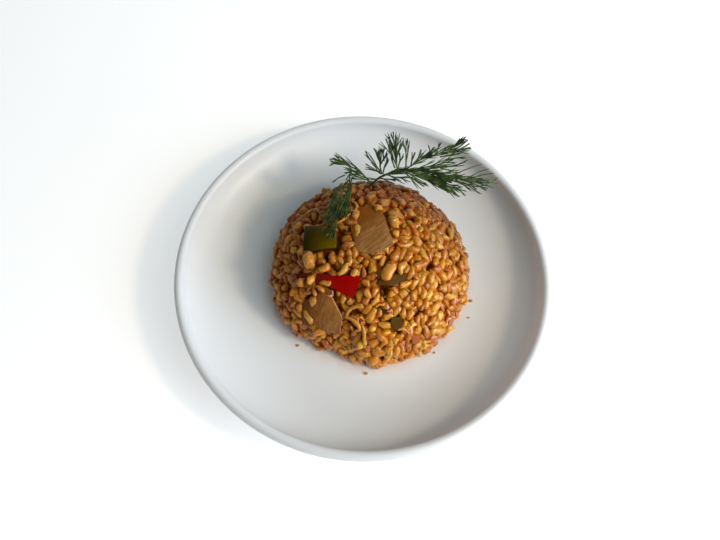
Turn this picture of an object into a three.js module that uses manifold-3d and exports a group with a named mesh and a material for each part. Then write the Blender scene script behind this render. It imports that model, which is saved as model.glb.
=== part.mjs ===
// Bulgur pilaf, turned out of a small bowl as a mound on its white plate, with pieces of onion,
// pepper and tomato in its surface and a sprig of dill across its back.
// Millimetres, +Z up. The origin is the centre of the plate's foot, on the table, and the plate's
// near edge is towards -Y. Places on the mound are measured from the centre of its base.
import * as THREE from "three";
import { mergeVertices } from "three/addons/utils/BufferGeometryUtils.js";
import Module from "manifold-3d";

const wasm = await Module();
wasm.setup();

// ---- Driving dimensions ----------------------------------------------------------------------

const GAP = 0.3; // clearance between pieces that touch

const PLATE_RADIUS = 105;
const PLATE_HEIGHT = 27;
const PLATE_SIDES = 48;
const LIP = 5.4; // thickness of the wall at the rounded lip
const FLOOR_Z = 7; // top of the flat floor inside
const FLOOR_RADIUS = 60; // where the floor starts to curve up into the wall
const FOOT_RADIUS = 60;
const FOOT_WIDTH = 5;
const FOOT_HEIGHT = 3;

const MOUND_CENTRE = new THREE.Vector3(3.5, 3.6, FLOOR_Z); // of its base, on the plate's floor
const MOUND_RADIUS = 58.8; // to the outside of the grains
const MOUND_HEIGHT = 48.2;
const GRAIN_STAND = 3; // how far a grain stands out of the packed core
const CORE_SIDES = 24;
const CORE_RINGS = 6;
const CORE_DENT = 1.2; // depth of the slow hollows in the core
const SLUMP_AZIMUTH = 250 * THREE.MathUtils.DEG2RAD; // the side where the mound is cut in
const SLUMP_WIDTH = 14 * THREE.MathUtils.DEG2RAD;
const SLUMP_DEPTH = 2.6;

const GRAIN_COUNT = 250; // grains tried, the largest first
const GRAIN_LENGTH = [9, 6.8]; // first and last
const GRAIN_WIDTH = [6.6, 5];
const GRAIN_FLATNESS = 0.85; // thickness over width
const GRAIN_TILT = 0.35; // radians, the most that a grain leans out of the surface
const GRAIN_SPACING = 1.06; // least centre distance over the mean size of two neighbours

const TOPPING_LIFT = 0.55; // inner face above the smooth core, so that no facet of it is touched
const CORNER_CUT = 0.24; // how far a corner of its outline moves in between its neighbours
const FACE_SHARE = 0.9; // outline of a topping's faces over its widest outline
const BENDING_SIZE = 5; // a topping with a corner further out than this also bends in its middle

const STEM_RADIUS = [0.95, 0.45]; // at the cut end and at the far end
const FROND_RADIUS = [0.65, 0.45];
const THREAD_RADIUS = 0.28; // of a thread at its foot
const THREAD_ANGLE = 0.62; // radians between a thread and its frond

// ---- Materials -------------------------------------------------------------------------------

const finish = (color, roughness) => new THREE.MeshStandardMaterial({ color, roughness, metalness: 0 });
const materials = {
  glaze: finish(0xe9ecec, 0.18),
  bulgur: finish(0xc07a2c, 0.38),
  onion: finish(0xa9793f, 0.3),
  greenPepper: finish(0x5c5f16, 0.3),
  redPepper: finish(0xb3130d, 0.25),
  tomato: finish(0xb5543f, 0.35),
  dill: finish(0x2c4a25, 0.55),
};

// ---- Solids and meshes -----------------------------------------------------------------------

// The next number of a seeded random row, from 0 to 1.
function randomRow(seed) {
  let state = seed;
  return () => {
    state = (state + 0x6d2b79f5) | 0;
    let mixed = Math.imul(state ^ (state >>> 15), 1 | state);
    mixed = (mixed + Math.imul(mixed ^ (mixed >>> 7), 61 | mixed)) ^ mixed;
    return ((mixed ^ (mixed >>> 14)) >>> 0) / 4294967296;
  };
}

const between = ([first, last], share) => THREE.MathUtils.lerp(first, last, share);

// The same surface with its shared corners merged and nothing but positions left.
function welded(geometry) {
  const bare = geometry.clone();
  bare.deleteAttribute("normal");
  bare.deleteAttribute("uv");
  return mergeVertices(bare, 1e-4);
}

function solidOf(geometry) {
  const shell = welded(geometry);
  return new wasm.Manifold(
    new wasm.Mesh({
      numProp: 3,
      vertProperties: new Float32Array(shell.attributes.position.array),
      triVerts: new Uint32Array(shell.index.array),
    }),
  );
}

function geometryOf(solid) {
  const { vertProperties, triVerts } = solid.getMesh();
  const geometry = new THREE.BufferGeometry();
  geometry.setAttribute("position", new THREE.BufferAttribute(vertProperties, 3));
  geometry.setIndex(new THREE.BufferAttribute(triVerts, 1));
  const flat = geometry.toNonIndexed();
  flat.computeVertexNormals();
  return flat;
}

// Joins solids to one, without its sealed hollows and loose scraps.
function fused(solids) {
  const shells = wasm.Manifold.union(solids).simplify(0.02).decompose();
  return shells.reduce((best, shell) => (shell.volume() > best.volume() ? shell : best));
}

// A turned shape about +Z: profile corners [radius, height] run from the axis back to the axis.
function turned(profile, sides) {
  const corners = profile.map(([radius, height]) => new THREE.Vector2(radius, height));
  return new THREE.LatheGeometry(corners, sides).rotateX(Math.PI / 2);
}

// Moves every corner of a geometry to where the rule puts it.
function reshaped(geometry, rule) {
  const position = geometry.attributes.position;
  const corner = new THREE.Vector3();
  for (let i = 0; i < position.count; i++) {
    const moved = rule(corner.fromBufferAttribute(position, i));
    position.setXYZ(i, moved.x, moved.y, moved.z);
  }
  return geometry;
}

// ---- Plate -----------------------------------------------------------------------------------

// A quarter of an ellipse from a flat start at (radius, low) up to a wall at (radius + run, high).
function bowlCurve(radius, low, run, high, steps) {
  return Array.from({ length: steps + 1 }, (_, i) => {
    const angle = (i / steps) * (Math.PI / 2);
    return [radius + run * Math.sin(angle), high - (high - low) * Math.cos(angle)];
  });
}

function plate() {
  const lipRadius = LIP / 2;
  const lipZ = PLATE_HEIGHT - lipRadius;
  const lipCentre = PLATE_RADIUS - lipRadius;
  const inside = bowlCurve(FLOOR_RADIUS, FLOOR_Z, PLATE_RADIUS - LIP - FLOOR_RADIUS, lipZ, 5);
  const outside = bowlCurve(FOOT_RADIUS, FOOT_HEIGHT, PLATE_RADIUS - FOOT_RADIUS, lipZ, 3);
  const lip = [0.25, 0.5, 0.75].map((turn) => {
    const angle = Math.PI * (1 - turn);
    return [lipCentre + lipRadius * Math.cos(angle), lipZ + lipRadius * Math.sin(angle)];
  });
  const foot = [
    [FOOT_RADIUS, 0],
    [FOOT_RADIUS - FOOT_WIDTH, 0],
    [FOOT_RADIUS - FOOT_WIDTH, FOOT_HEIGHT],
  ];
  const profile = [[0, FLOOR_Z], ...inside, ...lip, ...outside.reverse(), ...foot, [0, FOOT_HEIGHT]];
  return turned(profile.reverse(), PLATE_SIDES);
}

// ---- Mound -----------------------------------------------------------------------------------

// Distance from the centre of the mound's base to the packed core's surface in a direction.
function coreReach(direction) {
  const { x, y, z } = direction;
  const flat = Math.hypot(x, y) / (MOUND_RADIUS - GRAIN_STAND);
  const tall = z / (MOUND_HEIGHT - GRAIN_STAND);
  const hollow = 0.5 + 0.5 * Math.sin(4.3 * x + 1.1) * Math.cos(3.9 * y - 0.5 + 2.1 * z);
  const turn = Math.atan2(y, x) - SLUMP_AZIMUTH;
  const aside = Math.atan2(Math.sin(turn), Math.cos(turn)) / SLUMP_WIDTH;
  const slump = SLUMP_DEPTH * Math.exp(-aside * aside) * Math.hypot(x, y);
  return 1 / Math.hypot(flat, tall) - CORE_DENT * hollow - slump;
}

// The outside of the mound over place (x, y). Both are measured from the centre of its base.
function outerPoint(x, y) {
  const share = Math.hypot(x, y) / MOUND_RADIUS;
  return new THREE.Vector3(x, y, MOUND_HEIGHT * Math.sqrt(Math.max(0, 1 - share * share)));
}

// The core's surface on the way from the base's centre to a place, and lift above it, with the
// way out of the surface there and the two ways along it.
function onCore(place, lift = 0) {
  const direction = place.clone().normalize();
  const point = direction.clone().multiplyScalar(coreReach(direction));
  const out = new THREE.Vector3(point.x, point.y, point.z * (MOUND_RADIUS / MOUND_HEIGHT) ** 2);
  out.normalize();
  const along = new THREE.Vector3(1, 0, 0).addScaledVector(out, -out.x).normalize();
  const across = out.clone().cross(along);
  return { point: point.addScaledVector(out, lift).add(MOUND_CENTRE), out, along, across };
}

// The packed core: a turned dome whose corners are drawn in to the uneven surface.
function core() {
  const radius = MOUND_RADIUS - GRAIN_STAND;
  const height = MOUND_HEIGHT - GRAIN_STAND;
  const profile = [[0, GAP], [radius, GAP]];
  for (let ring = 1; ring <= CORE_RINGS; ring++) {
    const angle = (ring / CORE_RINGS) * (Math.PI / 2);
    profile.push([ring === CORE_RINGS ? 0 : radius * Math.cos(angle), height * Math.sin(angle)]);
  }
  const dome = reshaped(turned(profile, CORE_SIDES), (corner) => {
    const reach = corner.length();
    const onAxis = Math.hypot(corner.x, corner.y) < 1e-6;
    if (onAxis && corner.z < height / 2) return corner;
    const shrink = coreReach(corner.clone().normalize()) / reach;
    const level = corner.z > 2 * GAP ? corner.z * shrink : GAP;
    return new THREE.Vector3(corner.x * shrink, corner.y * shrink, level);
  });
  return dome.translate(...MOUND_CENTRE.toArray());
}

// One swollen grain as a stretched icosahedron, lying along the surface.
function grain(place, length, width, spin, tilt) {
  const thick = width * GRAIN_FLATNESS;
  const { point, out, along, across } = onCore(place, GRAIN_STAND - thick / 2);
  const lie = along.multiplyScalar(Math.cos(spin)).addScaledVector(across, Math.sin(spin));
  lie.addScaledVector(out, Math.tan(tilt)).normalize();
  const side = out.clone().cross(lie).normalize();
  const up = lie.clone().cross(side);
  const shape = new THREE.IcosahedronGeometry(1, 0).scale(length / 2, width / 2, thick / 2);
  shape.applyMatrix4(new THREE.Matrix4().makeBasis(lie, side, up));
  shape.computeBoundingBox();
  const sunk = FLOOR_Z + GAP - (point.z + shape.boundingBox.min.z);
  return shape.translate(point.x, point.y, point.z + Math.max(0, sunk));
}

// Places over the dome, evenly spread: a grain lands only where its neighbours leave it room.
function grainPlaces(random) {
  const placed = [];
  for (let i = 0; i < GRAIN_COUNT; i++) {
    const share = i / (GRAIN_COUNT - 1);
    const length = between(GRAIN_LENGTH, share);
    const width = between(GRAIN_WIDTH, share);
    for (let attempt = 0; attempt < 200; attempt++) {
      const azimuth = random() * 2 * Math.PI;
      const rise = 0.02 + 0.98 * random(); // even over a dome's surface
      const run = MOUND_RADIUS * Math.sqrt(1 - rise * rise);
      const place = new THREE.Vector3(run * Math.cos(azimuth), run * Math.sin(azimuth), MOUND_HEIGHT * rise);
      const room = ({ place: other, size }) =>
        other.distanceTo(place) > GRAIN_SPACING * 0.5 * (size + (length + width) / 2);
      if (!placed.every(room)) continue;
      placed.push({ place, length, width, size: (length + width) / 2 });
      break;
    }
  }
  return placed;
}

// The heap is the core with every grain fused on that stays clear of the plate, toppings and dill.
function bulgur(neighbours) {
  const random = randomRow(29);
  const pieces = [solidOf(core())];
  for (const { place, length, width } of grainPlaces(random)) {
    const spin = random() * Math.PI;
    const tilt = (random() * 2 - 1) * GRAIN_TILT;
    const body = solidOf(grain(place, length, width, spin, tilt));
    if (neighbours.every((neighbour) => body.minGap(neighbour, 2 * GAP) > GAP)) pieces.push(body);
  }
  return fused(pieces);
}

// ---- Toppings --------------------------------------------------------------------------------

// An outline with more corners than it was given: every side is split, then every corner cut.
function softened(corners, splits) {
  const points = corners.map(([x, y]) => new THREE.Vector2(x, y));
  const fine = points.flatMap((point, i) => {
    const next = points[(i + 1) % points.length];
    return Array.from({ length: splits }, (_, k) => point.clone().lerp(next, k / splits));
  });
  return fine.map((point, i) => {
    const before = fine[(i + fine.length - 1) % fine.length];
    const after = fine[(i + 1) % fine.length];
    return before.clone().lerp(after, 0.5).lerp(point, 1 - CORNER_CUT);
  });
}

// A cut piece of vegetable that lies on the core and follows it. Its outline's corners go round
// counter-clockwise, in millimetres along and across the surface from its place. Its cut side is
// widest half-way up, and curl lifts its rim.
function topping({ place, corners, thick, splits = 2, curl = 0 }) {
  const outline = softened(corners, splits);
  const ringOfFaces = Math.hypot(...corners[0]) > BENDING_SIZE ? [0.5] : [];
  const rings = [0, ...ringOfFaces, FACE_SHARE];
  const profile = [...rings.map((ring) => [ring, 0]), [1, 0.5], ...rings.reverse().map((ring) => [ring, 1])];
  const puck = turned(profile, outline.length);
  const centre = outerPoint(...place);
  const { along, across } = onCore(centre);
  return reshaped(puck, (corner) => {
    const ring = Math.hypot(corner.x, corner.y);
    const turn = Math.atan2(corner.x, -corner.y) / (2 * Math.PI);
    const edge = outline[Math.round((turn + 1) * outline.length) % outline.length];
    const flat = centre.clone().addScaledVector(along, edge.x * ring).addScaledVector(across, edge.y * ring);
    return onCore(flat, TOPPING_LIFT + thick * corner.z + curl * ring * ring).point;
  });
}

const toppings = {
  onion_upper: {
    material: materials.onion,
    place: [-2.9, 4.6],
    corners: [[-5.6, -14.2], [3, -16.6], [14.4, -9.6], [8.2, 8.2], [1.6, 15.6], [-8.2, 12.4], [-10.8, 3.9]],
    thick: 2.3,
    curl: 0.5,
  },
  onion_lower: {
    material: materials.onion,
    place: [-25.4, -38.7],
    corners: [[-2, 10.8], [-12.4, 2.7], [-13, -9.3], [-1.1, -13.6], [10.6, -13.4], [11.8, -2.3], [5.4, 8.7]],
    thick: 2,
  },
  onion_bit: {
    material: materials.onion,
    place: [-21.4, -30.2],
    corners: [[-1.6, -1.6], [1.9, -1.2], [1.7, 1.4], [-1.9, 1.3]],
    thick: 2.6,
  },
  green_pepper: {
    material: materials.greenPepper,
    place: [-28.8, -0.6],
    corners: [[-8.9, -7], [10.2, -7.2], [9.1, 4.6], [-10.4, 9.4]],
    thick: 3.2,
    splits: 4,
  },
  green_pepper_slice: {
    material: materials.greenPepper,
    place: [11.7, -23.6],
    corners: [[0.4, -2.9], [7.6, 1.2], [7.7, 4.4], [0.5, 3.2], [-7, 0.6], [-8.6, -2.9]],
    thick: 2.2,
  },
  green_pepper_bit: {
    material: materials.greenPepper,
    place: [15, -42.6],
    corners: [[-3.2, -1.5], [0.2, -4.1], [3.4, -1.2], [2.7, 3.6], [-3.1, 3.5]],
    thick: 2.4,
  },
  green_pepper_crumb: {
    material: materials.greenPepper,
    place: [8.9, -38.2],
    corners: [[-1.3, -1.4], [1.6, -1.3], [1.8, 1.1], [-2, 1.5]],
    thick: 2.2,
  },
  red_pepper: {
    material: materials.redPepper,
    place: [-18.6, -25.2],
    corners: [[-7, -1], [1, -5], [10, -9.4], [12, -3.4], [13.4, 3.4], [2.4, 3.2], [-8.7, 3.8], [-24, 3.2]],
    thick: 2.6,
  },
  tomato_front: {
    material: materials.tomato,
    place: [26.2, -46.6],
    corners: [[-1.9, -2.2], [3.2, -3.4], [1.8, 2.4], [-3.1, 3.2]],
    thick: 2.6,
  },
  tomato_side: {
    material: materials.tomato,
    place: [46.5, -33],
    corners: [[-2.2, -2.6], [2.6, -3], [2.4, 2.6], [-2.6, 3]],
    thick: 2.8,
  },
};

// ---- Dill ------------------------------------------------------------------------------------

// The stem leaves the grains behind the mound's top and reaches out over its right shoulder.
const stemRoot = onCore(outerPoint(-4.3, 38.1), 1.4).point;
const stemCurve = new THREE.CatmullRomCurve3([
  stemRoot,
  new THREE.Vector3(6.6, 42.4, 51),
  new THREE.Vector3(16.4, 43.5, 55),
  new THREE.Vector3(29.4, 42.7, 58),
  new THREE.Vector3(41.3, 40.3, 58),
  new THREE.Vector3(54.3, 40.8, 55),
  new THREE.Vector3(68.7, 44.6, 50),
]);

// Fronds: where each leaves the stem (0 to 1 of its length), its tip, how far its middle is
// lifted, how many pairs of threads it carries and how long the first of them are.
const fronds = [
  { at: 0.02, tip: [-20.9, 47.9, 57], lift: 2.5, pairs: 5, thread: 6 },
  { at: 0.1, tip: [3.6, 50.7, 66], lift: 0, pairs: 4, thread: 8 },
  { at: 0.12, tip: [-3, 47.6, 59.5], lift: 1, pairs: 2, thread: 5 },
  { at: 0.22, tip: [10.9, 54.9, 72], lift: 0, pairs: 7, thread: 7 },
  { at: 0.25, tip: [18.1, 53.3, 66], lift: 0, pairs: 2, thread: 6 },
  { at: 0.33, tip: [50.4, 54, 70.5], lift: -1, pairs: 9, thread: 10 },
  { at: 0.46, tip: [52.9, 47.8, 62], lift: 0, pairs: 6, thread: 10 },
  { at: 0.6, tip: [61, 47.4, 59], lift: 0.5, pairs: 5, thread: 9 },
  { at: 0.42, tip: [45.2, 36.8, 50], lift: 2, pairs: 7, thread: 8 },
  { at: 0.66, tip: [58.6, 40.6, 50.5], lift: 0.5, pairs: 4, thread: 8 },
];

// This frond bends back over the mound and rests its tip on the green pepper.
const drapeCurve = new THREE.CatmullRomCurve3([
  stemCurve.getPoint(0.03),
  new THREE.Vector3(-9.8, 40.2, 51.5),
  new THREE.Vector3(-15, 31.4, 52.2),
  new THREE.Vector3(-17.2, 20.4, 54),
  new THREE.Vector3(-19.1, 6.5, 53.7),
]);
const DRAPE_PAIRS = 7;
const DRAPE_THREAD = 8;

// A round stalk that thins along a curve.
function stalk(curve, radii, sides, steps) {
  const straight = new THREE.CylinderGeometry(1, 1, 1, sides, steps);
  return reshaped(straight, (corner) => {
    const share = corner.y + 0.5;
    const way = curve.getTangent(share);
    const side = new THREE.Vector3(0, 0, 1).cross(way).normalize();
    const top = way.clone().cross(side);
    const radius = between(radii, share);
    const centre = curve.getPoint(share);
    return centre.addScaledVector(top, -corner.x * radius).addScaledVector(side, -corner.z * radius);
  });
}

// A leaf thread: a slender three-sided cone from foot along way.
function thread(foot, way, length) {
  const cone = new THREE.ConeGeometry(THREAD_RADIUS, length, 3).translate(0, length / 2, 0);
  const turn = new THREE.Quaternion().setFromUnitVectors(new THREE.Vector3(0, 1, 0), way);
  return cone.applyQuaternion(turn).translate(foot.x, foot.y, foot.z);
}

// A frond is a stalk with pairs of threads, shorter towards its tip, turned about it in steps.
function frond(curve, pairs, length, random) {
  const shapes = [stalk(curve, FROND_RADIUS, 4, 4)];
  for (let pair = 0; pair < pairs; pair++) {
    const share = 0.2 + (0.74 * (pair + 0.5)) / pairs;
    const way = curve.getTangent(share);
    const side = new THREE.Vector3(0, 0, 1).cross(way).normalize();
    const roll = (random() - 0.5) * 1.5;
    side.applyAxisAngle(way, roll);
    for (const hand of [-1, 1]) {
      const foot = curve.getPoint(share + hand * 0.012);
      const angle = THREAD_ANGLE + (random() - 0.5) * 0.3;
      const out = way.clone().multiplyScalar(Math.cos(angle)).addScaledVector(side, hand * Math.sin(angle));
      shapes.push(thread(foot, out.normalize(), length * (1 - 0.45 * share) * (0.8 + 0.4 * random())));
    }
  }
  return shapes;
}

function archedCurve(start, tip, lift) {
  const middle = start.clone().lerp(tip, 0.5);
  middle.z += lift;
  return new THREE.QuadraticBezierCurve3(start, middle, tip);
}

function dill() {
  const random = randomRow(11);
  const shapes = [stalk(stemCurve, STEM_RADIUS, 5, 10)];
  for (const { at, tip, lift, pairs, thread: length } of fronds) {
    const curve = archedCurve(stemCurve.getPoint(at), new THREE.Vector3(...tip), lift);
    shapes.push(...frond(curve, pairs, length, random));
  }
  shapes.push(...frond(drapeCurve, DRAPE_PAIRS, DRAPE_THREAD, random));
  return fused(shapes.map(solidOf));
}

// ---- The whole -------------------------------------------------------------------------------

const root = new THREE.Group();

function add(name, geometry, material) {
  const mesh = new THREE.Mesh(geometry, material);
  mesh.name = name;
  root.add(mesh);
}

const plateShape = plate();
const toppingShapes = Object.entries(toppings).map(([name, piece]) => [name, topping(piece), piece.material]);
const dillSolid = dill();
const around = [plateShape, ...toppingShapes.map(([, shape]) => shape)].map(solidOf);
const bulgurSolid = bulgur([...around, dillSolid]);

add("plate", plateShape, materials.glaze);
add("bulgur", geometryOf(bulgurSolid), materials.bulgur);
for (const [name, shape, material] of toppingShapes) add(name, shape, material);
add("dill", geometryOf(dillSolid), materials.dill);

export default root;
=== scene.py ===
# %% [markdown]
# # Bulgur pilaf on its plate
#
# The real dish is a small bowl of cooked bulgur, pressed and turned out on a white coupe plate, with
# soft pieces of onion, pepper and tomato on top and a sprig of dill behind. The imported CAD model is
# loaded first. It fixes the size of the dish, and every piece made here is laid where its node is.

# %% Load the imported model
import math

import bmesh
import bpy
import numpy as np
from mathutils import Matrix, Vector


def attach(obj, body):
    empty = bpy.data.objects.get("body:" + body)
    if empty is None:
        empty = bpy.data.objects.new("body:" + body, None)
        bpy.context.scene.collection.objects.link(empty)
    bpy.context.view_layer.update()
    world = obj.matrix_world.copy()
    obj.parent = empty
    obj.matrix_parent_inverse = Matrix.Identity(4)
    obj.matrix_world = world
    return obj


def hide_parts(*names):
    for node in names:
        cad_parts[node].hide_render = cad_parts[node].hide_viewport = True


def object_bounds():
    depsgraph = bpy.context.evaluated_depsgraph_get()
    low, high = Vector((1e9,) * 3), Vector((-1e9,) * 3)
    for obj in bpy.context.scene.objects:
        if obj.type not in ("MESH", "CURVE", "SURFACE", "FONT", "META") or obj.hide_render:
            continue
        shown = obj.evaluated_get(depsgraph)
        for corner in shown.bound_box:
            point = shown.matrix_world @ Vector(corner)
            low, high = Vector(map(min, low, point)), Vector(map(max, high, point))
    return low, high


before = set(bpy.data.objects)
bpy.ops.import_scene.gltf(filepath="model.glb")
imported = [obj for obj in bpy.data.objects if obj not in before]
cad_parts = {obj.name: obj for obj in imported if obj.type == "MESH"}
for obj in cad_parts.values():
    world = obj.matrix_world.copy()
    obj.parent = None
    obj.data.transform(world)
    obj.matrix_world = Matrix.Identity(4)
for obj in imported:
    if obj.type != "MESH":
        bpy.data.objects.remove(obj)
cad_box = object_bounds()
print("CAD nodes:", ", ".join(sorted(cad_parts)))

# %% [markdown]
# ## Working habits
#
# An operator acts on everything that is selected, and loading leaves the CAD nodes selected. So each
# new piece starts with nothing selected. A finished piece keeps its object at the origin and its place
# in its mesh, as the CAD nodes do. Lengths are written in millimetres and turned to metres by MM.

# %% Helpers for modelling
MM = 0.001


def start_fresh():
    """Goes back to object mode with nothing selected."""
    if bpy.context.mode != "OBJECT":
        bpy.ops.object.mode_set(mode="OBJECT")
    bpy.ops.object.select_all(action="DESELECT")


def take(piece):
    """Selects one piece alone and makes it the active one."""
    start_fresh()
    piece.select_set(True)
    bpy.context.view_layer.objects.active = piece
    return piece


def new_piece(name):
    """Names the object that an operator has just added, and moves its place into its mesh."""
    piece = bpy.context.object
    piece.name = piece.data.name = name
    bpy.ops.object.transform_apply(location=True, rotation=True, scale=True)
    return piece


def select_where(test):
    """In edit mode, selects the vertices whose place in millimetres passes the test."""
    bpy.ops.mesh.select_mode(type="VERT")
    mesh = bmesh.from_edit_mesh(bpy.context.object.data)
    for vertex in mesh.verts:
        vertex.select = bool(test(vertex.co / MM))
    mesh.select_flush_mode()
    bmesh.update_edit_mesh(bpy.context.object.data)


def apply_modifier(piece, kind, **settings):
    """Adds a modifier with these settings and applies it at once."""
    take(piece)
    modifier = piece.modifiers.new(kind.title(), kind)
    for name, value in settings.items():
        setattr(modifier, name, value)
    bpy.ops.object.modifier_apply(modifier=modifier.name)


def corners_of(piece):
    """The places of a mesh's vertices, in millimetres, one row each."""
    places = np.empty(len(piece.data.vertices) * 3)
    piece.data.vertices.foreach_get("co", places)
    return places.reshape(-1, 3) / MM


def move_corners(piece, places):
    """Puts a mesh's vertices at these places, in millimetres."""
    piece.data.vertices.foreach_set("co", (np.asarray(places) * MM).ravel())
    piece.data.update()


def store(piece, label, values):
    """Stores one number on each vertex of a mesh, for its finish to read."""
    numbers = np.asarray(values).astype(np.float32)
    piece.data.attributes.new(label, "FLOAT", "POINT").data.foreach_set("value", numbers)


def tubes(name, rows):
    """One mesh of round threads: each row holds its points and their radii, in millimetres."""
    start_fresh()
    bpy.ops.curve.primitive_bezier_curve_add()
    piece = bpy.context.object
    piece.data.splines.clear()
    piece.data.dimensions = "3D"
    piece.data.bevel_depth, piece.data.bevel_resolution = 1 * MM, 1
    piece.data.use_fill_caps = True
    for points, radii in rows:
        spline = piece.data.splines.new("POLY")
        spline.points.add(len(points) - 1)
        for end, spot, size in zip(spline.points, points, radii):
            end.co, end.radius = (*(np.asarray(spot) * MM), 1), size
    take(piece)
    bpy.ops.object.convert(target="MESH")
    piece = bpy.context.object
    piece.name = piece.data.name = name
    bpy.ops.object.shade_smooth()
    return piece


# %% [markdown]
# ## Camera and light
#
# The photo is taken from 65 degrees above the table with a slight roll, through a lens like a 28 mm
# one. The edge of the mound's shadow gives the direction of the main light: a small warm window on
# the near right, 42 degrees up. Wide windows, most of them cooler, stand for the sky and the rest of
# the room, and fill the shadow side. The floor is a plain pale sheet, which isn't part of the object.

# %% Camera
CAMERA_PLACE = Vector((-0.0022, -0.1343, 0.3088))
CAMERA_PITCH = math.radians(65.2)
CAMERA_ROLL = math.radians(3.6)

start_fresh()
bpy.ops.object.camera_add(location=CAMERA_PLACE)
camera = bpy.context.object
camera.name = "camera"
forward = Vector((0, math.cos(CAMERA_PITCH), -math.sin(CAMERA_PITCH)))
level_right = Vector((1, 0, 0))
level_up = level_right.cross(forward)
right = math.cos(CAMERA_ROLL) * level_right + math.sin(CAMERA_ROLL) * level_up
up = math.cos(CAMERA_ROLL) * level_up - math.sin(CAMERA_ROLL) * level_right
turned = Matrix((right, up, -forward)).transposed().to_4x4()
camera.matrix_world = Matrix.Translation(CAMERA_PLACE) @ turned
camera.data.lens, camera.data.sensor_width = 28, 36
camera.data.clip_start, camera.data.clip_end = 0.01, 20
bpy.context.scene.camera = camera
print("camera at", [round(x, 4) for x in CAMERA_PLACE])


# %% Lights
LAMP_AIM = Vector((0, 0, 0.02))  # the lamps shine on this place in the mound


def window(name, azimuth, elevation, distance, size, power, colour):
    """A square area light that shines on the dish from an azimuth (from +X to +Y) and an elevation."""
    a, e = math.radians(azimuth), math.radians(elevation)
    back = Vector((math.cos(e) * math.cos(a), math.cos(e) * math.sin(a), math.sin(e)))
    start_fresh()
    bpy.ops.object.light_add(type="AREA", location=back * distance + LAMP_AIM)
    lamp = bpy.context.object
    lamp.name = name
    lamp.rotation_euler = back.to_track_quat("Z", "Y").to_euler()
    lamp.data.shape, lamp.data.size = "SQUARE", size
    lamp.data.energy, lamp.data.color = power, colour


# name, azimuth and elevation in degrees, distance and width in metres, power in watts, colour
window("key_window", -16, 42, 1.0, 0.12, 3.1, (1.0, 0.8, 0.48))
window("low_sky", -20, 22, 1.0, 0.7, 9.4, (0.56, 0.73, 1.0))
window("wide_window", -30, 42, 1.0, 0.8, 4.9, (1.0, 0.88, 0.78))
window("top_light", 0, 65, 1.0, 0.7, 1.6, (0.58, 0.88, 1.0))
window("back_room", 100, 22, 1.0, 0.7, 2.2, (0.84, 0.93, 1.0))
window("left_room", 207, 32, 1.2, 1.2, 1.9, (0.84, 0.95, 1.0))

scene = bpy.context.scene
scene.world = bpy.data.worlds.new("room")
scene.world.use_nodes = True
backdrop = scene.world.node_tree.nodes["Background"]
backdrop.inputs["Color"].default_value = (0.96, 1.0, 0.97, 1)
backdrop.inputs["Strength"].default_value = 0.01
scene.view_settings.view_transform = "Standard"

# %% [markdown]
# ## Shader maths
#
# A finish is a small sum: a pattern times a strength, or one minus a mask. The class Signal wraps a
# socket, so that such sums are written as Python and add their own Math nodes. The class Finish is a
# material that is built node by node.


# %% Signals and finishes
def feed(slot, value):
    """Links a signal to a socket, or sets a plain value on it."""
    if isinstance(value, Signal):
        slot.id_data.links.new(value.socket, slot)
    else:
        slot.default_value = value


class Signal:
    """An output socket that can be used in sums with numbers and other signals."""

    def __init__(self, socket):
        self.socket = socket

    def maths(self, operation, first, second):
        node = self.socket.id_data.nodes.new("ShaderNodeMath")
        node.operation = operation
        feed(node.inputs[0], first)
        feed(node.inputs[1], second)
        return Signal(node.outputs[0])

    def __add__(self, other):
        return self.maths("ADD", self, other)

    def __radd__(self, other):
        return self.maths("ADD", other, self)

    def __sub__(self, other):
        return self.maths("SUBTRACT", self, other)

    def __rsub__(self, other):
        return self.maths("SUBTRACT", other, self)

    def __mul__(self, other):
        return self.maths("MULTIPLY", self, other)


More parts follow.
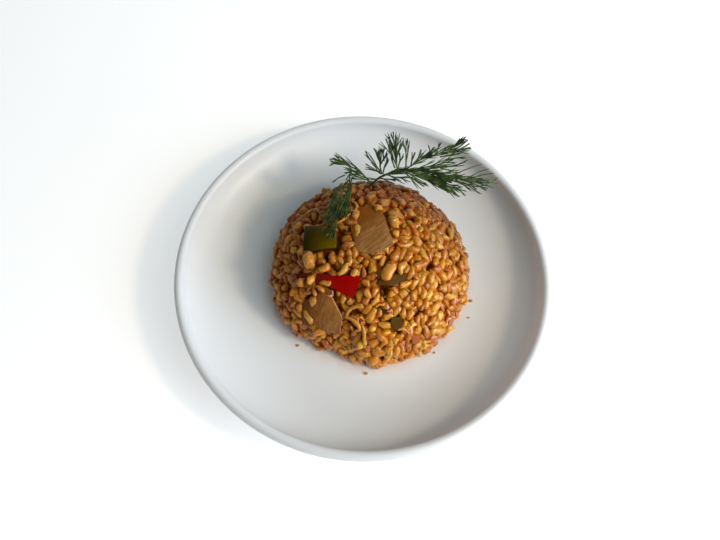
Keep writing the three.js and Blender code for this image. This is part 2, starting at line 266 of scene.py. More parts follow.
class Finish:
    """A procedural material."""

    def __init__(self, name):
        self.material = bpy.data.materials.new(name)
        self.material.use_nodes = True
        self.tree = self.material.node_tree
        self.tree.nodes.clear()

    def node(self, kind, settings=(), inputs=(), output=0):
        """Adds a node: its settings are set first, then its sockets get values or links."""
        made = self.tree.nodes.new("ShaderNode" + kind)
        for name, value in dict(settings).items():
            if name == "stops":
                ramp = made.color_ramp.elements
                while len(ramp) < len(value):
                    ramp.new(0.5)
                for stop, (place, tint) in zip(ramp, value):
                    stop.position, stop.color = place, tint
            else:
                setattr(made, name, value)
        for name, value in dict(inputs).items():
            feed(made.inputs[name], value)
        return Signal(made.outputs[output]) if len(made.outputs) else None

    def place(self):
        return self.node("TexCoord", output="Object")

    def noise(self, scale, detail=2.0, roughness=0.5, where=None):
        sockets = {"Vector": where or self.place(), "Scale": scale}
        return self.node("TexNoise", inputs={**sockets, "Detail": detail, "Roughness": roughness})

    def stored(self, label):
        """The number that is stored on each vertex under this label."""
        return self.node("Attribute", {"attribute_name": label}, output="Fac")

    def vector(self, operation, *parts, output=0):
        return self.node("VectorMath", {"operation": operation}, dict(enumerate(parts)), output)

    def ramp(self, signal, *stops):
        return self.node("ValToRGB", {"stops": stops}, {"Fac": signal})

    def step(self, signal, low, high):
        """0 below low, 1 above high and a straight rise between."""
        return self.node("MapRange", inputs={"Value": signal, "From Min": low, "From Max": high})

    def mix(self, share, first, second):
        return self.node("Mix", {"data_type": "RGBA"}, {0: share, 6: first, 7: second}, output=2)

    def bump(self, height, distance, strength=1.0):
        return self.node("Bump", inputs={"Height": height, "Distance": distance, "Strength": strength})

    def surface(self, colour, roughness, normal=None, soft=(), glint=(), coat=(), **others):
        """Closes the material with a Principled shader. soft is how strongly light goes in, how far
        for each colour, and its scale; glint is a strength and tint; coat a strength and roughness."""
        inputs = {"Base Color": colour, "Roughness": roughness}
        inputs |= {"Normal": normal} if normal else {}
        inputs |= zip(("Subsurface Weight", "Subsurface Radius", "Subsurface Scale"), soft)
        inputs |= zip(("Specular IOR Level", "Specular Tint"), glint)
        inputs |= zip(("Coat Weight", "Coat Roughness"), coat)
        inputs |= {name.replace("_", " "): value for name, value in others.items()}
        self.node("OutputMaterial", inputs={"Surface": self.node("BsdfPrincipled", inputs=inputs)})
        return self.material


def rgb(red, green, blue):
    """A colour as a screen shows it, 0 to 255, turned to the linear one that shaders use."""
    share = [value / 255 for value in (red, green, blue)]
    return (*(s / 12.92 if s <= 0.04045 else ((s + 0.055) / 1.055) ** 2.4 for s in share), 1)


# %% Floor
start_fresh()
bpy.ops.mesh.primitive_plane_add(size=6)
floor = new_piece("floor")
paper = Finish("pale_paper")
fibres = paper.noise(40.0, 3.0)
pale = paper.mix(fibres, rgb(240, 240, 239), rgb(244, 244, 243))
glow = {"Emission_Color": (1, 1, 1, 1), "Emission_Strength": 0.42}
floor.data.materials.append(paper.surface(pale, 0.9, **glow))
print("floor:", floor.name, "in", floor.data.materials[0].name)

# %% [markdown]
# ## Plate
#
# The real plate is one piece of stoneware with a glossy white glaze: a flat floor that rises in one
# smooth curve to a steep wall, a thick rounded lip and a foot ring below. It could be spun from a
# profile. Here it grows from a disc instead: each ring of edges is pulled out of the last one and
# given its own radius, as a potter pulls up a wall, so every ring keeps its vertices in line.

# %% Plate shape
PLATE_RADIUS, LIP, LIP_Z = 105.0, 5.4, 24.3
FLOOR_RADIUS, FLOOR_Z = 60.0, 7.0
FOOT_RADIUS, FOOT_WIDTH, FOOT_HEIGHT, FOOT_ROUNDING = 60.0, 5.0, 3.0, 0.7
PLATE_SIDES, INSIDE_STEPS, OUTSIDE_STEPS, LIP_STEPS = 144, 20, 16, 12


def bowl_curve(radius, low, run, high, steps):
    """A quarter of an ellipse, flat at (radius, low) and rising to a wall at (radius + run, high)."""
    turns = [i / steps * math.pi / 2 for i in range(steps + 1)]
    return [(radius + run * math.sin(t), high - (high - low) * math.cos(t)) for t in turns]


inside = bowl_curve(FLOOR_RADIUS, FLOOR_Z, PLATE_RADIUS - LIP - FLOOR_RADIUS, LIP_Z, INSIDE_STEPS)
outside = bowl_curve(FOOT_RADIUS, FOOT_HEIGHT, PLATE_RADIUS - FOOT_RADIUS, LIP_Z, OUTSIDE_STEPS)[::-1]
lip_turns = [math.pi * (1 - i / LIP_STEPS) for i in range(1, LIP_STEPS)]
lip = [(PLATE_RADIUS - LIP / 2 * (1 - math.cos(t)), LIP_Z + LIP / 2 * math.sin(t)) for t in lip_turns]
foot_inside = FOOT_RADIUS - FOOT_WIDTH
foot = [(FOOT_RADIUS, FOOT_ROUNDING), (FOOT_RADIUS - FOOT_ROUNDING, 0)]
foot += [(foot_inside + FOOT_ROUNDING, 0), (foot_inside, FOOT_ROUNDING), (foot_inside, FOOT_HEIGHT)]
rings = inside + lip + outside + foot

start_fresh()
bpy.ops.mesh.primitive_circle_add(vertices=PLATE_SIDES, radius=FLOOR_RADIUS * MM, fill_type="NGON")
bpy.ops.transform.translate(value=(0, 0, FLOOR_Z * MM))
plate = new_piece("plate_glazed")
bpy.ops.object.mode_set(mode="EDIT")
bpy.ops.mesh.select_all(action="SELECT")
bpy.ops.mesh.region_to_loop()
for (radius, height), (next_radius, next_height) in zip(rings, rings[1:]):
    rise = (0, 0, (next_height - height) * MM)
    bpy.ops.mesh.extrude_edges_move(TRANSFORM_OT_translate={"value": rise})
    spread = next_radius / radius
    bpy.ops.transform.resize(value=(spread, spread, 1), center_override=(0, 0, next_height * MM))
bpy.ops.mesh.edge_face_add()
bpy.ops.mesh.select_all(action="SELECT")
bpy.ops.mesh.remove_doubles(threshold=1e-6)
bpy.ops.mesh.normals_make_consistent(inside=False)
start_fresh()
take(plate)
bpy.ops.object.shade_smooth_by_angle(angle=math.radians(50))
print("plate:", len(plate.data.polygons), "faces,", len(rings), "rings")

# %% [markdown]
# ## Glaze
#
# White glaze isn't one flat white. It pools a little, so its gloss and its surface change softly, and
# round the food a thin film of orange oil and stock has crept out. The film is painted in the glaze by
# the distance from the mound's middle, broken up by noise.

# %% Glaze finish
MOUND_CENTRE = np.array([3.5, 3.6, 7.0])
MOUND_RADIUS, MOUND_HEIGHT = 58.8, 48.2
FILM_FULL, FILM_END, FILM_RAGGED = 0.0575, 0.0635, 0.012  # metres from the mound's middle

glaze = Finish("white_glaze")
where = glaze.place()
from_mound = glaze.vector("SUBTRACT", where, (*MOUND_CENTRE * MM,))
distance = glaze.vector("LENGTH", glaze.vector("MULTIPLY", from_mound, (1, 1, 0)), output="Value")
creep = glaze.noise(55.0, 4.0, 0.6, where=where)
film = 1 - glaze.step(distance + (creep - 0.5) * FILM_RAGGED, FILM_FULL, FILM_END)
pooled = glaze.noise(14.0, 1.0, where=where)
white = glaze.mix(pooled, rgb(226, 227, 226), rgb(231, 232, 231))
oily = glaze.mix(film * glaze.step(creep, 0.42, 0.7) * 0.5, white, rgb(214, 150, 96))
uneven = glaze.bump(pooled, 0.0004, 0.25)
plate.data.materials.append(glaze.surface(oily, 0.42 + pooled * 0.08, uneven, coat=(0.2, 0.3)))
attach(plate, "root")
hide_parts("plate")
print("glaze on", plate.name)

# %% [markdown]
# ## Where the mound's surface is
#
# The mound is a squashed half sphere with a few dents. The same rule as in the CAD model gives the
# place of its packed core in any direction, and the way out of the surface there. Every piece that
# lies on the mound is set on this rule, so the pieces sit where their CAD nodes are.

# %% The core's surface
GRAIN_STAND, CORE_DENT = 3.0, 1.2
SLUMP = (250, 2.6, 14)  # azimuth in degrees, depth, and half width in degrees


def unit(rows):
    return rows / np.linalg.norm(rows, axis=-1, keepdims=True)


def swell(direction, azimuth, height, spread):
    """How far the surface stands out round an azimuth, less towards the top; angles in degrees."""
    x, y, _ = np.moveaxis(direction, -1, 0)
    turn = np.arctan2(y, x) - math.radians(azimuth)
    aside = np.arctan2(np.sin(turn), np.cos(turn)) / math.radians(spread)
    return height * np.exp(-aside * aside) * np.hypot(x, y)


def core_reach(direction):
    """Distance from the centre of the mound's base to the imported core's surface, for unit rows."""
    x, y, z = np.moveaxis(direction, -1, 0)
    flat = np.hypot(x, y) / (MOUND_RADIUS - GRAIN_STAND)
    tall = z / (MOUND_HEIGHT - GRAIN_STAND)
    hollow = 0.5 + 0.5 * np.sin(4.3 * x + 1.1) * np.cos(3.9 * y - 0.5 + 2.1 * z)
    return 1 / np.hypot(flat, tall) - CORE_DENT * hollow - swell(direction, *SLUMP)


def outer_point(x, y):
    """The outside of the mound over a place measured from the centre of its base."""
    share = math.hypot(x, y) / MOUND_RADIUS
    return np.array([x, y, MOUND_HEIGHT * math.sqrt(max(0.0, 1 - share * share))])


def way_out(places):
    """The way out of the mound's surface, for places measured from the centre of its base."""
    return unit(places * np.array([1, 1, (MOUND_RADIUS / MOUND_HEIGHT) ** 2]))


def on_core(places, lift):
    """The core's surface towards some places, and lift above it."""
    direction = unit(places)
    points = direction * core_reach(direction)[..., None]
    return points + way_out(points) * np.asarray(lift)[..., None] + MOUND_CENTRE


def ways_along(out):
    """Two ways along a surface from the way out of it."""
    along = unit(np.array([1.0, 0, 0]) - out * out[..., :1])
    return along, np.cross(out, along)


print("mound's top at", round(float(on_core(np.array([0, 0, 1.0]), 3.0)[2]), 1), "mm")

# %% [markdown]
# ## Cut vegetables
#
# Onion, pepper and tomato are thin cut pieces that lie flat and follow the mound. Each starts as a
# circle with as many vertices as the piece has corners. The corners are dragged to their places, then
# rounded, the sheet is split into small faces, and a modifier gives it its thickness. Only then is it
# laid over the mound, so that its bend is the mound's own.

# %% Outlines of the cut pieces
TOPPING_LIFT, LOWEST_LIFT = 0.55, 0.3
CUTS = {  # the middle's place from the mound's centre, the corners round it, and the thickness
    "onion_upper": (
        (-2.9, 4.6),
        [(-5.6, -14.2), (3, -16.6), (14.4, -9.6), (8.2, 8.2), (1.6, 15.6), (-8.2, 12.4), (-10.8, 3.9)],
        2.3,
    ),
    "onion_lower": (
        (-25.4, -38.7),
        [(-2, 10.8), (-12.4, 2.7), (-13, -9.3), (-1.1, -13.6), (10.6, -13.4), (11.8, -2.3), (5.4, 8.7)],
        2.0,
    ),
    "onion_bit": ((-21.4, -30.2), [(-1.6, -1.6), (1.9, -1.2), (1.7, 1.4), (-1.9, 1.3)], 2.6),
    "green_pepper": ((-28.8, -0.6), [(-8.9, -7), (10.2, -7.2), (9.1, 4.6), (-10.4, 9.4)], 3.2),
    "green_pepper_slice": (
        (11.7, -23.6),
        [(0.4, -2.9), (7.6, 1.2), (7.7, 4.4), (0.5, 3.2), (-7, 0.6), (-8.6, -2.9)],
        2.2,
    ),
    "green_pepper_bit": (
        (15, -42.6),
        [(-3.2, -1.5), (0.2, -4.1), (3.4, -1.2), (2.7, 3.6), (-3.1, 3.5)],
        2.4,
    ),
    "green_pepper_crumb": ((8.9, -38.2), [(-1.3, -1.4), (1.6, -1.3), (1.8, 1.1), (-2, 1.5)], 2.2),
    "red_pepper": (
        (-18.6, -25.2),
        [(-7, -1), (1, -5), (10, -9.4), (12, -3.4), (13.4, 3.4)]
        + [(2.4, 3.2), (-8.7, 3.8), (-24, 3.2), (-22.5, 0.2)],
        2.6,
    ),
    "tomato_front": ((26.2, -46.6), [(-1.9, -2.2), (3.2, -3.4), (1.8, 2.4), (-3.1, 3.2)], 2.6),
    "tomato_side": ((46.5, -33), [(-2.2, -2.6), (2.6, -3), (2.4, 2.6), (-2.6, 3)], 2.8),
}
CURLS = {"onion_upper": 0.8, "onion_lower": 0.4}  # how much the rim stands up
LONG_SIDE, LARGE_ROUNDING, SMALL_ROUNDING = 5.0, 0.13, 0.2  # corners, as a share of the shortest side
EDGE_WIDTH = 0.42
print("cut pieces to make:", len(CUTS))


# %% Cutting and laying a piece
def cut_sheet(name, corners, thick):
    """A flat cut piece with its place at the origin: x along the surface, y across it, z out."""
    start_fresh()
    bpy.ops.mesh.primitive_circle_add(vertices=len(corners), radius=5 * MM, fill_type="NGON")
    piece = new_piece(name)
    bpy.ops.object.mode_set(mode="EDIT")
    for i, (x, y) in enumerate(corners):
        bpy.ops.mesh.select_all(action="DESELECT")
        mesh = bmesh.from_edit_mesh(piece.data)
        mesh.verts.ensure_lookup_table()
        mesh.verts[i].select = True
        drag = Vector((x * MM, y * MM, 0)) - mesh.verts[i].co
        bmesh.update_edit_mesh(piece.data)
        bpy.ops.transform.translate(value=drag)
    side = min(math.dist(a, b) for a, b in zip(corners, corners[1:] + corners[:1]))
    rounding = (LARGE_ROUNDING if side > LONG_SIDE else SMALL_ROUNDING) * side
    bpy.ops.mesh.select_all(action="SELECT")
    bpy.ops.mesh.bevel(offset=rounding * MM, segments=3, affect="VERTICES")
    bpy.ops.mesh.select_all(action="SELECT")
    bpy.ops.mesh.quads_convert_to_tris(ngon_method="BEAUTY")
    bpy.ops.mesh.subdivide(number_cuts=3)
    bpy.ops.mesh.normals_make_consistent(inside=False)
    start_fresh()
    outwards = 1.0 if piece.data.polygons[0].normal.z > 0 else -1.0
    apply_modifier(piece, "SOLIDIFY", thickness=thick * MM, offset=outwards)
    corner = {"limit_method": "ANGLE", "angle_limit": math.radians(50)}
    apply_modifier(piece, "BEVEL", width=EDGE_WIDTH * MM, segments=2, **corner)
    return piece


def lay_on_mound(piece, place, curl, seed):
    """Bends a flat piece over the mound and gives it the unevenness of cooked vegetable."""
    rng = np.random.default_rng(seed)
    flat = corners_of(piece)
    flat[:, 2] -= flat[:, 2].min()
    centre = outer_point(*place)
    along, across = ways_along(way_out(on_core(centre, 0.0) - MOUND_CENTRE))
    spot = centre + flat[:, :1] * along + flat[:, 1:2] * across
    from_middle = np.hypot(flat[:, 0], flat[:, 1])
    phase = rng.uniform(0, 6.28, 4)
    wave = np.sin(flat[:, 0] * 0.42 + phase[0]) * np.cos(flat[:, 1] * 0.36 + phase[1])
    fine = np.sin(flat[:, 0] * 1.1 + phase[2]) * np.cos(flat[:, 1] * 1.3 + phase[3])
    rim = (from_middle / from_middle.max()) ** 2
    lift = TOPPING_LIFT + flat[:, 2] + curl * rim + 0.22 * wave + 0.06 * fine
    store(piece, "depth", 1 - flat[:, 2] / flat[:, 2].max())
    move_corners(piece, on_core(spot, np.maximum(lift, LOWEST_LIFT)))
    take(piece)
    bpy.ops.object.shade_smooth_by_angle(angle=math.radians(60))


cut_pieces = {}
for seed, (name, (place, corners, thick)) in enumerate(CUTS.items()):
    piece = cut_sheet(name + "_cooked", corners, thick)
    lay_on_mound(piece, place, CURLS.get(name, 0.0), seed)
    cut_pieces[name] = piece
print("cut pieces:", {name: len(piece.data.polygons) for name, piece in cut_pieces.items()})

# %% [markdown]
# ## Finishes of the vegetables
#
# Cooked onion is translucent: the sauce shows through it orange at its thin end, and pale veins run
# along it. Its cut edge is painted pale, partly for the paler cut flesh and partly as a painted
# highlight, and the lower side of the edge and the underside are painted dark as the shade under the
# piece. Pepper has a thin skin over paler flesh, which shows on the cut sides, so the colour follows
# the depth below the skin that was stored on each vertex. The big green and red pepper pieces and the
# tomatoes are painted darker at their left and lighter at their right, as painted shade and light
# from the lamps on the right. All of them are wet and shine.


# %% Onion finish
STOCK_TINT, OIL_TINT = (1.0, 0.76, 0.42, 1.0), (1.0, 0.7, 0.3, 1.0)


def onion_finish(name, thin_side, thick_side, vein, turn, vein_turn, middle, spread):
    """Onion whose colour changes from one side to the other, with veins along its length."""
    finish = Finish(name)
    where = finish.node(
        "Mapping",
        {"vector_type": "TEXTURE"},
        {"Vector": finish.place(), "Location": (*(np.array(middle) * MM),), "Rotation": (0, 0, turn)},
    )
    parts = finish.node("SeparateXYZ", inputs={"Vector": where})
    cloud = finish.noise(190.0, 4.0, 0.6, where=where)
    across = finish.step(parts + (cloud - 0.5) * 0.008, -spread * MM, spread * MM)
    rotation = {"rotation_type": "Z_AXIS"}
    turned = finish.node("VectorRotate", rotation, {"Vector": where, "Angle": vein_turn})
    drawn_out = finish.vector("MULTIPLY", turned, (1.0, 0.12, 0.12))
    veins = finish.noise(1000.0, 3.0, 0.65, where=drawn_out)
    base = finish.mix(across, thin_side, thick_side)
    tinted = finish.mix(finish.step(veins, 0.42, 0.72) * (across * 0.55 + 0.06), base, vein)
    mottled = finish.mix(finish.step(cloud, 0.42, 0.66) * (0.75 - across * 0.4), tinted, thin_side)
    depth = finish.stored("depth")
    # painted highlight and shade: the cut edge is painted pale all round, partly as paler cut flesh and
    # partly as a highlight; the edge's lower side and the underside are painted dark, as the shade under
    # the piece
    rim = finish.mix(finish.step(depth, 0.01, 0.12) * 0.9, mottled, rgb(222, 178, 124))
    shaded_underside = finish.mix(finish.step(depth, 0.2, 0.5) * 0.9, rim, rgb(96, 48, 12))
    normal = finish.bump(veins * 0.5 + cloud * 1.4, 0.0008, 0.8)
    soft, coat = (0.3, (1.0, 0.6, 0.3), 0.002), (across * 0.16, 0.2)
    return finish.surface(shaded_underside, 0.28 + cloud * 0.2, normal, soft, (0.12, STOCK_TINT), coat)


ONIONS = {  # thin side, thick side, veins, turn, turn of the veins, middle, half width of the change
    "onion_upper": (rgb(126, 68, 0), rgb(142, 98, 46), rgb(192, 150, 108), -0.75, 0.05, (1, 8, 52), 6),
    "onion_lower": (
        rgb(116, 60, 0), rgb(160, 108, 52), rgb(186, 140, 90), -0.35, -0.1, (-22, -33, 35), 9
    ),
    "onion_bit": (rgb(124, 72, 20), rgb(140, 88, 36), rgb(158, 108, 58), 0.0, 0.0, (-17, -25, 43), 3),
}
for name, looks in ONIONS.items():
    cut_pieces[name].data.materials.append(onion_finish(f"{name}_cooked", *looks))
print("onion finishes:", len(ONIONS))


# %% Pepper and tomato finish
def skin_finish(name, skin, lit_skin, flesh, gloss, left=-500.0, right=500.0, wet=0.03):
    """A thin glossy skin over paler flesh. Between two places along X the skin goes over to lit_skin, so
    the side towards the lamps is painted lighter and the other side darker, as painted light. Without
    the two places the two skins are blended half and half.
    """
    skin, lit_skin, flesh = rgb(*skin), rgb(*lit_skin), rgb(*flesh)
    finish = Finish(name)
    depth = finish.stored("depth")
    cloud = finish.noise(220.0, 3.0, 0.6)
    patches = finish.noise(75.0, 2.0)
    along = finish.node("SeparateXYZ", inputs={"Vector": finish.place()})
    # painted light and shade: the skin goes from dark at the left place to lit_skin at the right one
    top = finish.mix(finish.step(along + (patches - 0.5) * 0.012, left * MM, right * MM), skin, lit_skin)
    colour = finish.mix(finish.step(depth + (cloud - 0.5) * 0.2, 0.1, 0.4), top, flesh)
    normal, soft = finish.bump(cloud, 0.0003, 0.4), (0.08, (1.0, 0.5, 0.3), 0.001)
    return finish.surface(colour, gloss + cloud * 0.15, normal, soft, (0.22, OIL_TINT), (wet, 0.14))


# painted light and shade: between the two places the skin is painted lighter towards the right, where
# the light falls
SKINS = {  # its nodes, skin, lit_skin, flesh, gloss; then, where they matter, the two places and wetness
    "green_pepper_cooked": (["green_pepper"], (42, 32, 0), (112, 90, 2), (84, 66, 24), 0.3, -33, -15),
    "green_slice_cooked": (["green_pepper_slice"], (82, 42, 0), (76, 46, 0), (86, 52, 4), 0.5),
    "green_bit_cooked": (["green_pepper_bit"], (60, 38, 0), (80, 54, 0), (48, 30, 0), 0.45),
    "green_crumb_cooked": (["green_pepper_crumb"], (48, 26, 0), (64, 36, 0), (40, 22, 0), 0.45),
    "red_pepper_cooked": (["red_pepper"], (84, 0, 0), (160, 0, 0), (160, 16, 8), 0.24, -35, -3, 0.09),
    "tomato_cooked": (
        ["tomato_front", "tomato_side"], (148, 72, 20), (170, 90, 52), (176, 98, 50), 0.26, 24, 34, 0.3
    ),
}
for name, (nodes, *looks) in SKINS.items():
    skin = skin_finish(name, *looks)
    for node in nodes:
        cut_pieces[node].data.materials.append(skin)
for name, piece in cut_pieces.items():
    words = name.split("_")
    slot = words[0] if words[0] in ("onion", "tomato") else "_".join(words[:2])
    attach(piece, "root")
    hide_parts(name)
print("finished:", ", ".join(cut_pieces))

# %% [markdown]
# ## Packed core
#
# Under the visible grains lies the pressed inside of the heap. It shows only between the grains,
# where it is painted dark red-brown as the shade deep in the gaps. So it is a plain dome: a sphere
# cut in half by a bisect, closed below, and drawn in to the uneven surface rule.

# %% Core of the heap
DOME_SIZE = 40.0  # any size will do, because each corner is moved to its place later
CORE_SINK, CORE_RISE = 1.6, 0.3


def new_dome(name, segments, rings):
    """A closed half sphere with its flat side down, and where its corners start."""
    start_fresh()
    bpy.ops.mesh.primitive_uv_sphere_add(segments=segments, ring_count=rings, radius=DOME_SIZE * MM)
    piece = new_piece(name)
    bpy.ops.object.mode_set(mode="EDIT")
    bpy.ops.mesh.select_all(action="SELECT")
    bpy.ops.mesh.bisect(plane_co=(0, 0, 0), plane_no=(0, 0, 1), clear_inner=True, use_fill=True)
    bpy.ops.mesh.select_all(action="SELECT")
    bpy.ops.mesh.normals_make_consistent(inside=False)
    start_fresh()
    return piece, corners_of(piece)


def shape_dome(piece, start, places, rise):
    """Moves a dome's corners to their places and its rim a small rise above the plate's floor."""
    places[start[:, 2] < 0.01, 2] = FLOOR_Z + rise
    move_corners(piece, places)
    take(piece)
    bpy.ops.object.shade_smooth_by_angle(angle=math.radians(60))


core, start = new_dome("pilaf_core", 72, 36)
shape_dome(core, start, on_core(start, np.full(len(start), -CORE_SINK)), CORE_RISE)

core_shade = Finish("pilaf_core_painted_shade")
lumps = core_shade.noise(170.0, 3.0, 0.6)
# painted shade: the core is coloured dark red-brown for the shade deep between the grains
gap_shade = core_shade.mix(lumps, rgb(64, 14, 0), rgb(104, 40, 0))
core.data.materials.append(core_shade.surface(gap_shade, 0.85, core_shade.bump(lumps, 0.0015), glint=(0.1,)))
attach(core, "root")
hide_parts("bulgur")
print("core:", len(core.data.polygons), "faces")

# %% [markdown]
# ## Grain kinds
#
# A cooked grain of coarse bulgur is a swollen, cracked wheat grain: plump with a crease along one
# side, or long, split open, curled, or broken off short, with small bits between. Each kind is
# modelled once from a small sphere, 1 mm long with its long way up, and has fewer than a hundred faces
# because it is repeated hundreds of times. The copies get their real sizes later, so that no two are
# the same.


# %% Modelling the grain kinds
def new_grain(name, segments=10, rings=7):
    """A small sphere to start a grain from, with a row of vertices facing +Y for the crease."""
    start_fresh()
    turn = math.radians(90 - 360 / segments * (segments // 4))
    bpy.ops.mesh.primitive_uv_sphere_add(segments=segments, ring_count=rings, radius=0.5 * MM)
    bpy.context.object.rotation_euler = (0, 0, turn)
    piece = new_piece(name)
    bpy.ops.object.mode_set(mode="EDIT")
    return piece


def crease(depth, length):
    """Draws the row of vertices that faces +Y inwards."""
    select_where(lambda v: abs(v.x) < 0.08 and v.y > 0.1 and abs(v.z) < length)
    bpy.ops.transform.translate(value=(0, -depth * MM, 0))


def squeeze(test, share, about):
    """Resizes one end or side of a grain about a point."""
    select_where(test)
    bpy.ops.transform.resize(value=share, center_override=Vector(about) * MM)


def turn_end(test, angle, height):
    """Turns one end of a grain about X, at a height."""
    select_where(test)
    bpy.ops.transform.rotate(value=angle, orient_axis="X", center_override=(0, 0, height * MM))


def rounded(piece_name, fullness):
    """A grain with full, rounded ends."""
    piece = new_grain(piece_name)
    squeeze(lambda v: 0.38 < abs(v.z) < 0.48, (fullness, fullness, 1.0), (0, 0, 0))
    squeeze(lambda v: 0.2 < abs(v.z) < 0.38, (1.1, 1.1, 1.0), (0, 0, 0))
    return piece


kinds = {}

kinds["plump"] = rounded("grain_plump", 1.34)
squeeze(lambda v: v.z > 0.2, (0.9, 0.9, 1.0), (0, 0, 0.2))
crease(0.14, 0.46)

kinds["long"] = rounded("grain_long", 1.28)
squeeze(lambda v: v.z > 0.15, (0.84, 0.84, 1.0), (0, 0, 0.15))
select_where(lambda v: abs(v.z) < 0.25)
bpy.ops.transform.translate(value=(0, 0.08 * MM, 0))
crease(0.1, 0.4)

kinds["split"] = rounded("grain_split", 1.34)
squeeze(lambda v: v.y > 0.1 and v.x > 0.1, (1.15, 1.12, 1.0), (0.2, 0, 0))
squeeze(lambda v: v.y > 0.1 and v.x < -0.1, (1.15, 1.12, 1.0), (-0.2, 0, 0))
crease(0.26, 0.45)

kinds["broken"] = rounded("grain_broken", 1.25)
squeeze(lambda v: v.z > 0.3, (1.15, 1.1, 0.5), (0, 0, 0.3))
turn_end(lambda v: v.z > 0.28, 0.35, 0.3)
crease(0.1, 0.3)

kinds["curled"] = rounded("grain_curled", 1.1)
for start in (0.1, 0.25, 0.4):
    for hand in (-1, 1):
        turn_end(lambda v: v.z * hand > start, 0.3 * hand, start * hand)
crease(0.12, 0.5)

kinds["bit"] = new_grain("grain_bit", 8, 5)
squeeze(lambda v: v.z > 0.1, (1.2, 0.8, 0.8), (0, 0, 0.1))
squeeze(lambda v: v.x > 0.1, (0.8, 1.15, 1.0), (0.1, 0, 0))

start_fresh()
shapes = {}
for name, piece in kinds.items():
    faces = [tuple(face.vertices) for face in piece.data.polygons]
    shapes[name] = (corners_of(piece), faces)
    print("grain kind", name, "has", len(faces), "faces")
    bpy.data.objects.remove(piece)

# %% [markdown]
# ## Settling the heap
#
# Grains strewn at random would run into each other and leave bare patches, and a physics run takes
# long. So the grains start evenly spread, and each is three balls in a row. In every round, balls that
# overlap push each other apart, the cut vegetables press the grains that they cover down, and each
# grain is drawn back to its depth below the mound's outside. After 72 rounds the grains lie packed,
# touching and tilted.
#
# On the side that the photo shows, 113 grains are clear enough to be placed one by one. They stay
# there, some of them on the edges of the cut pieces, and the others settle round them. A few hollows
# stay free, because the real heap has dark gaps between its grains.

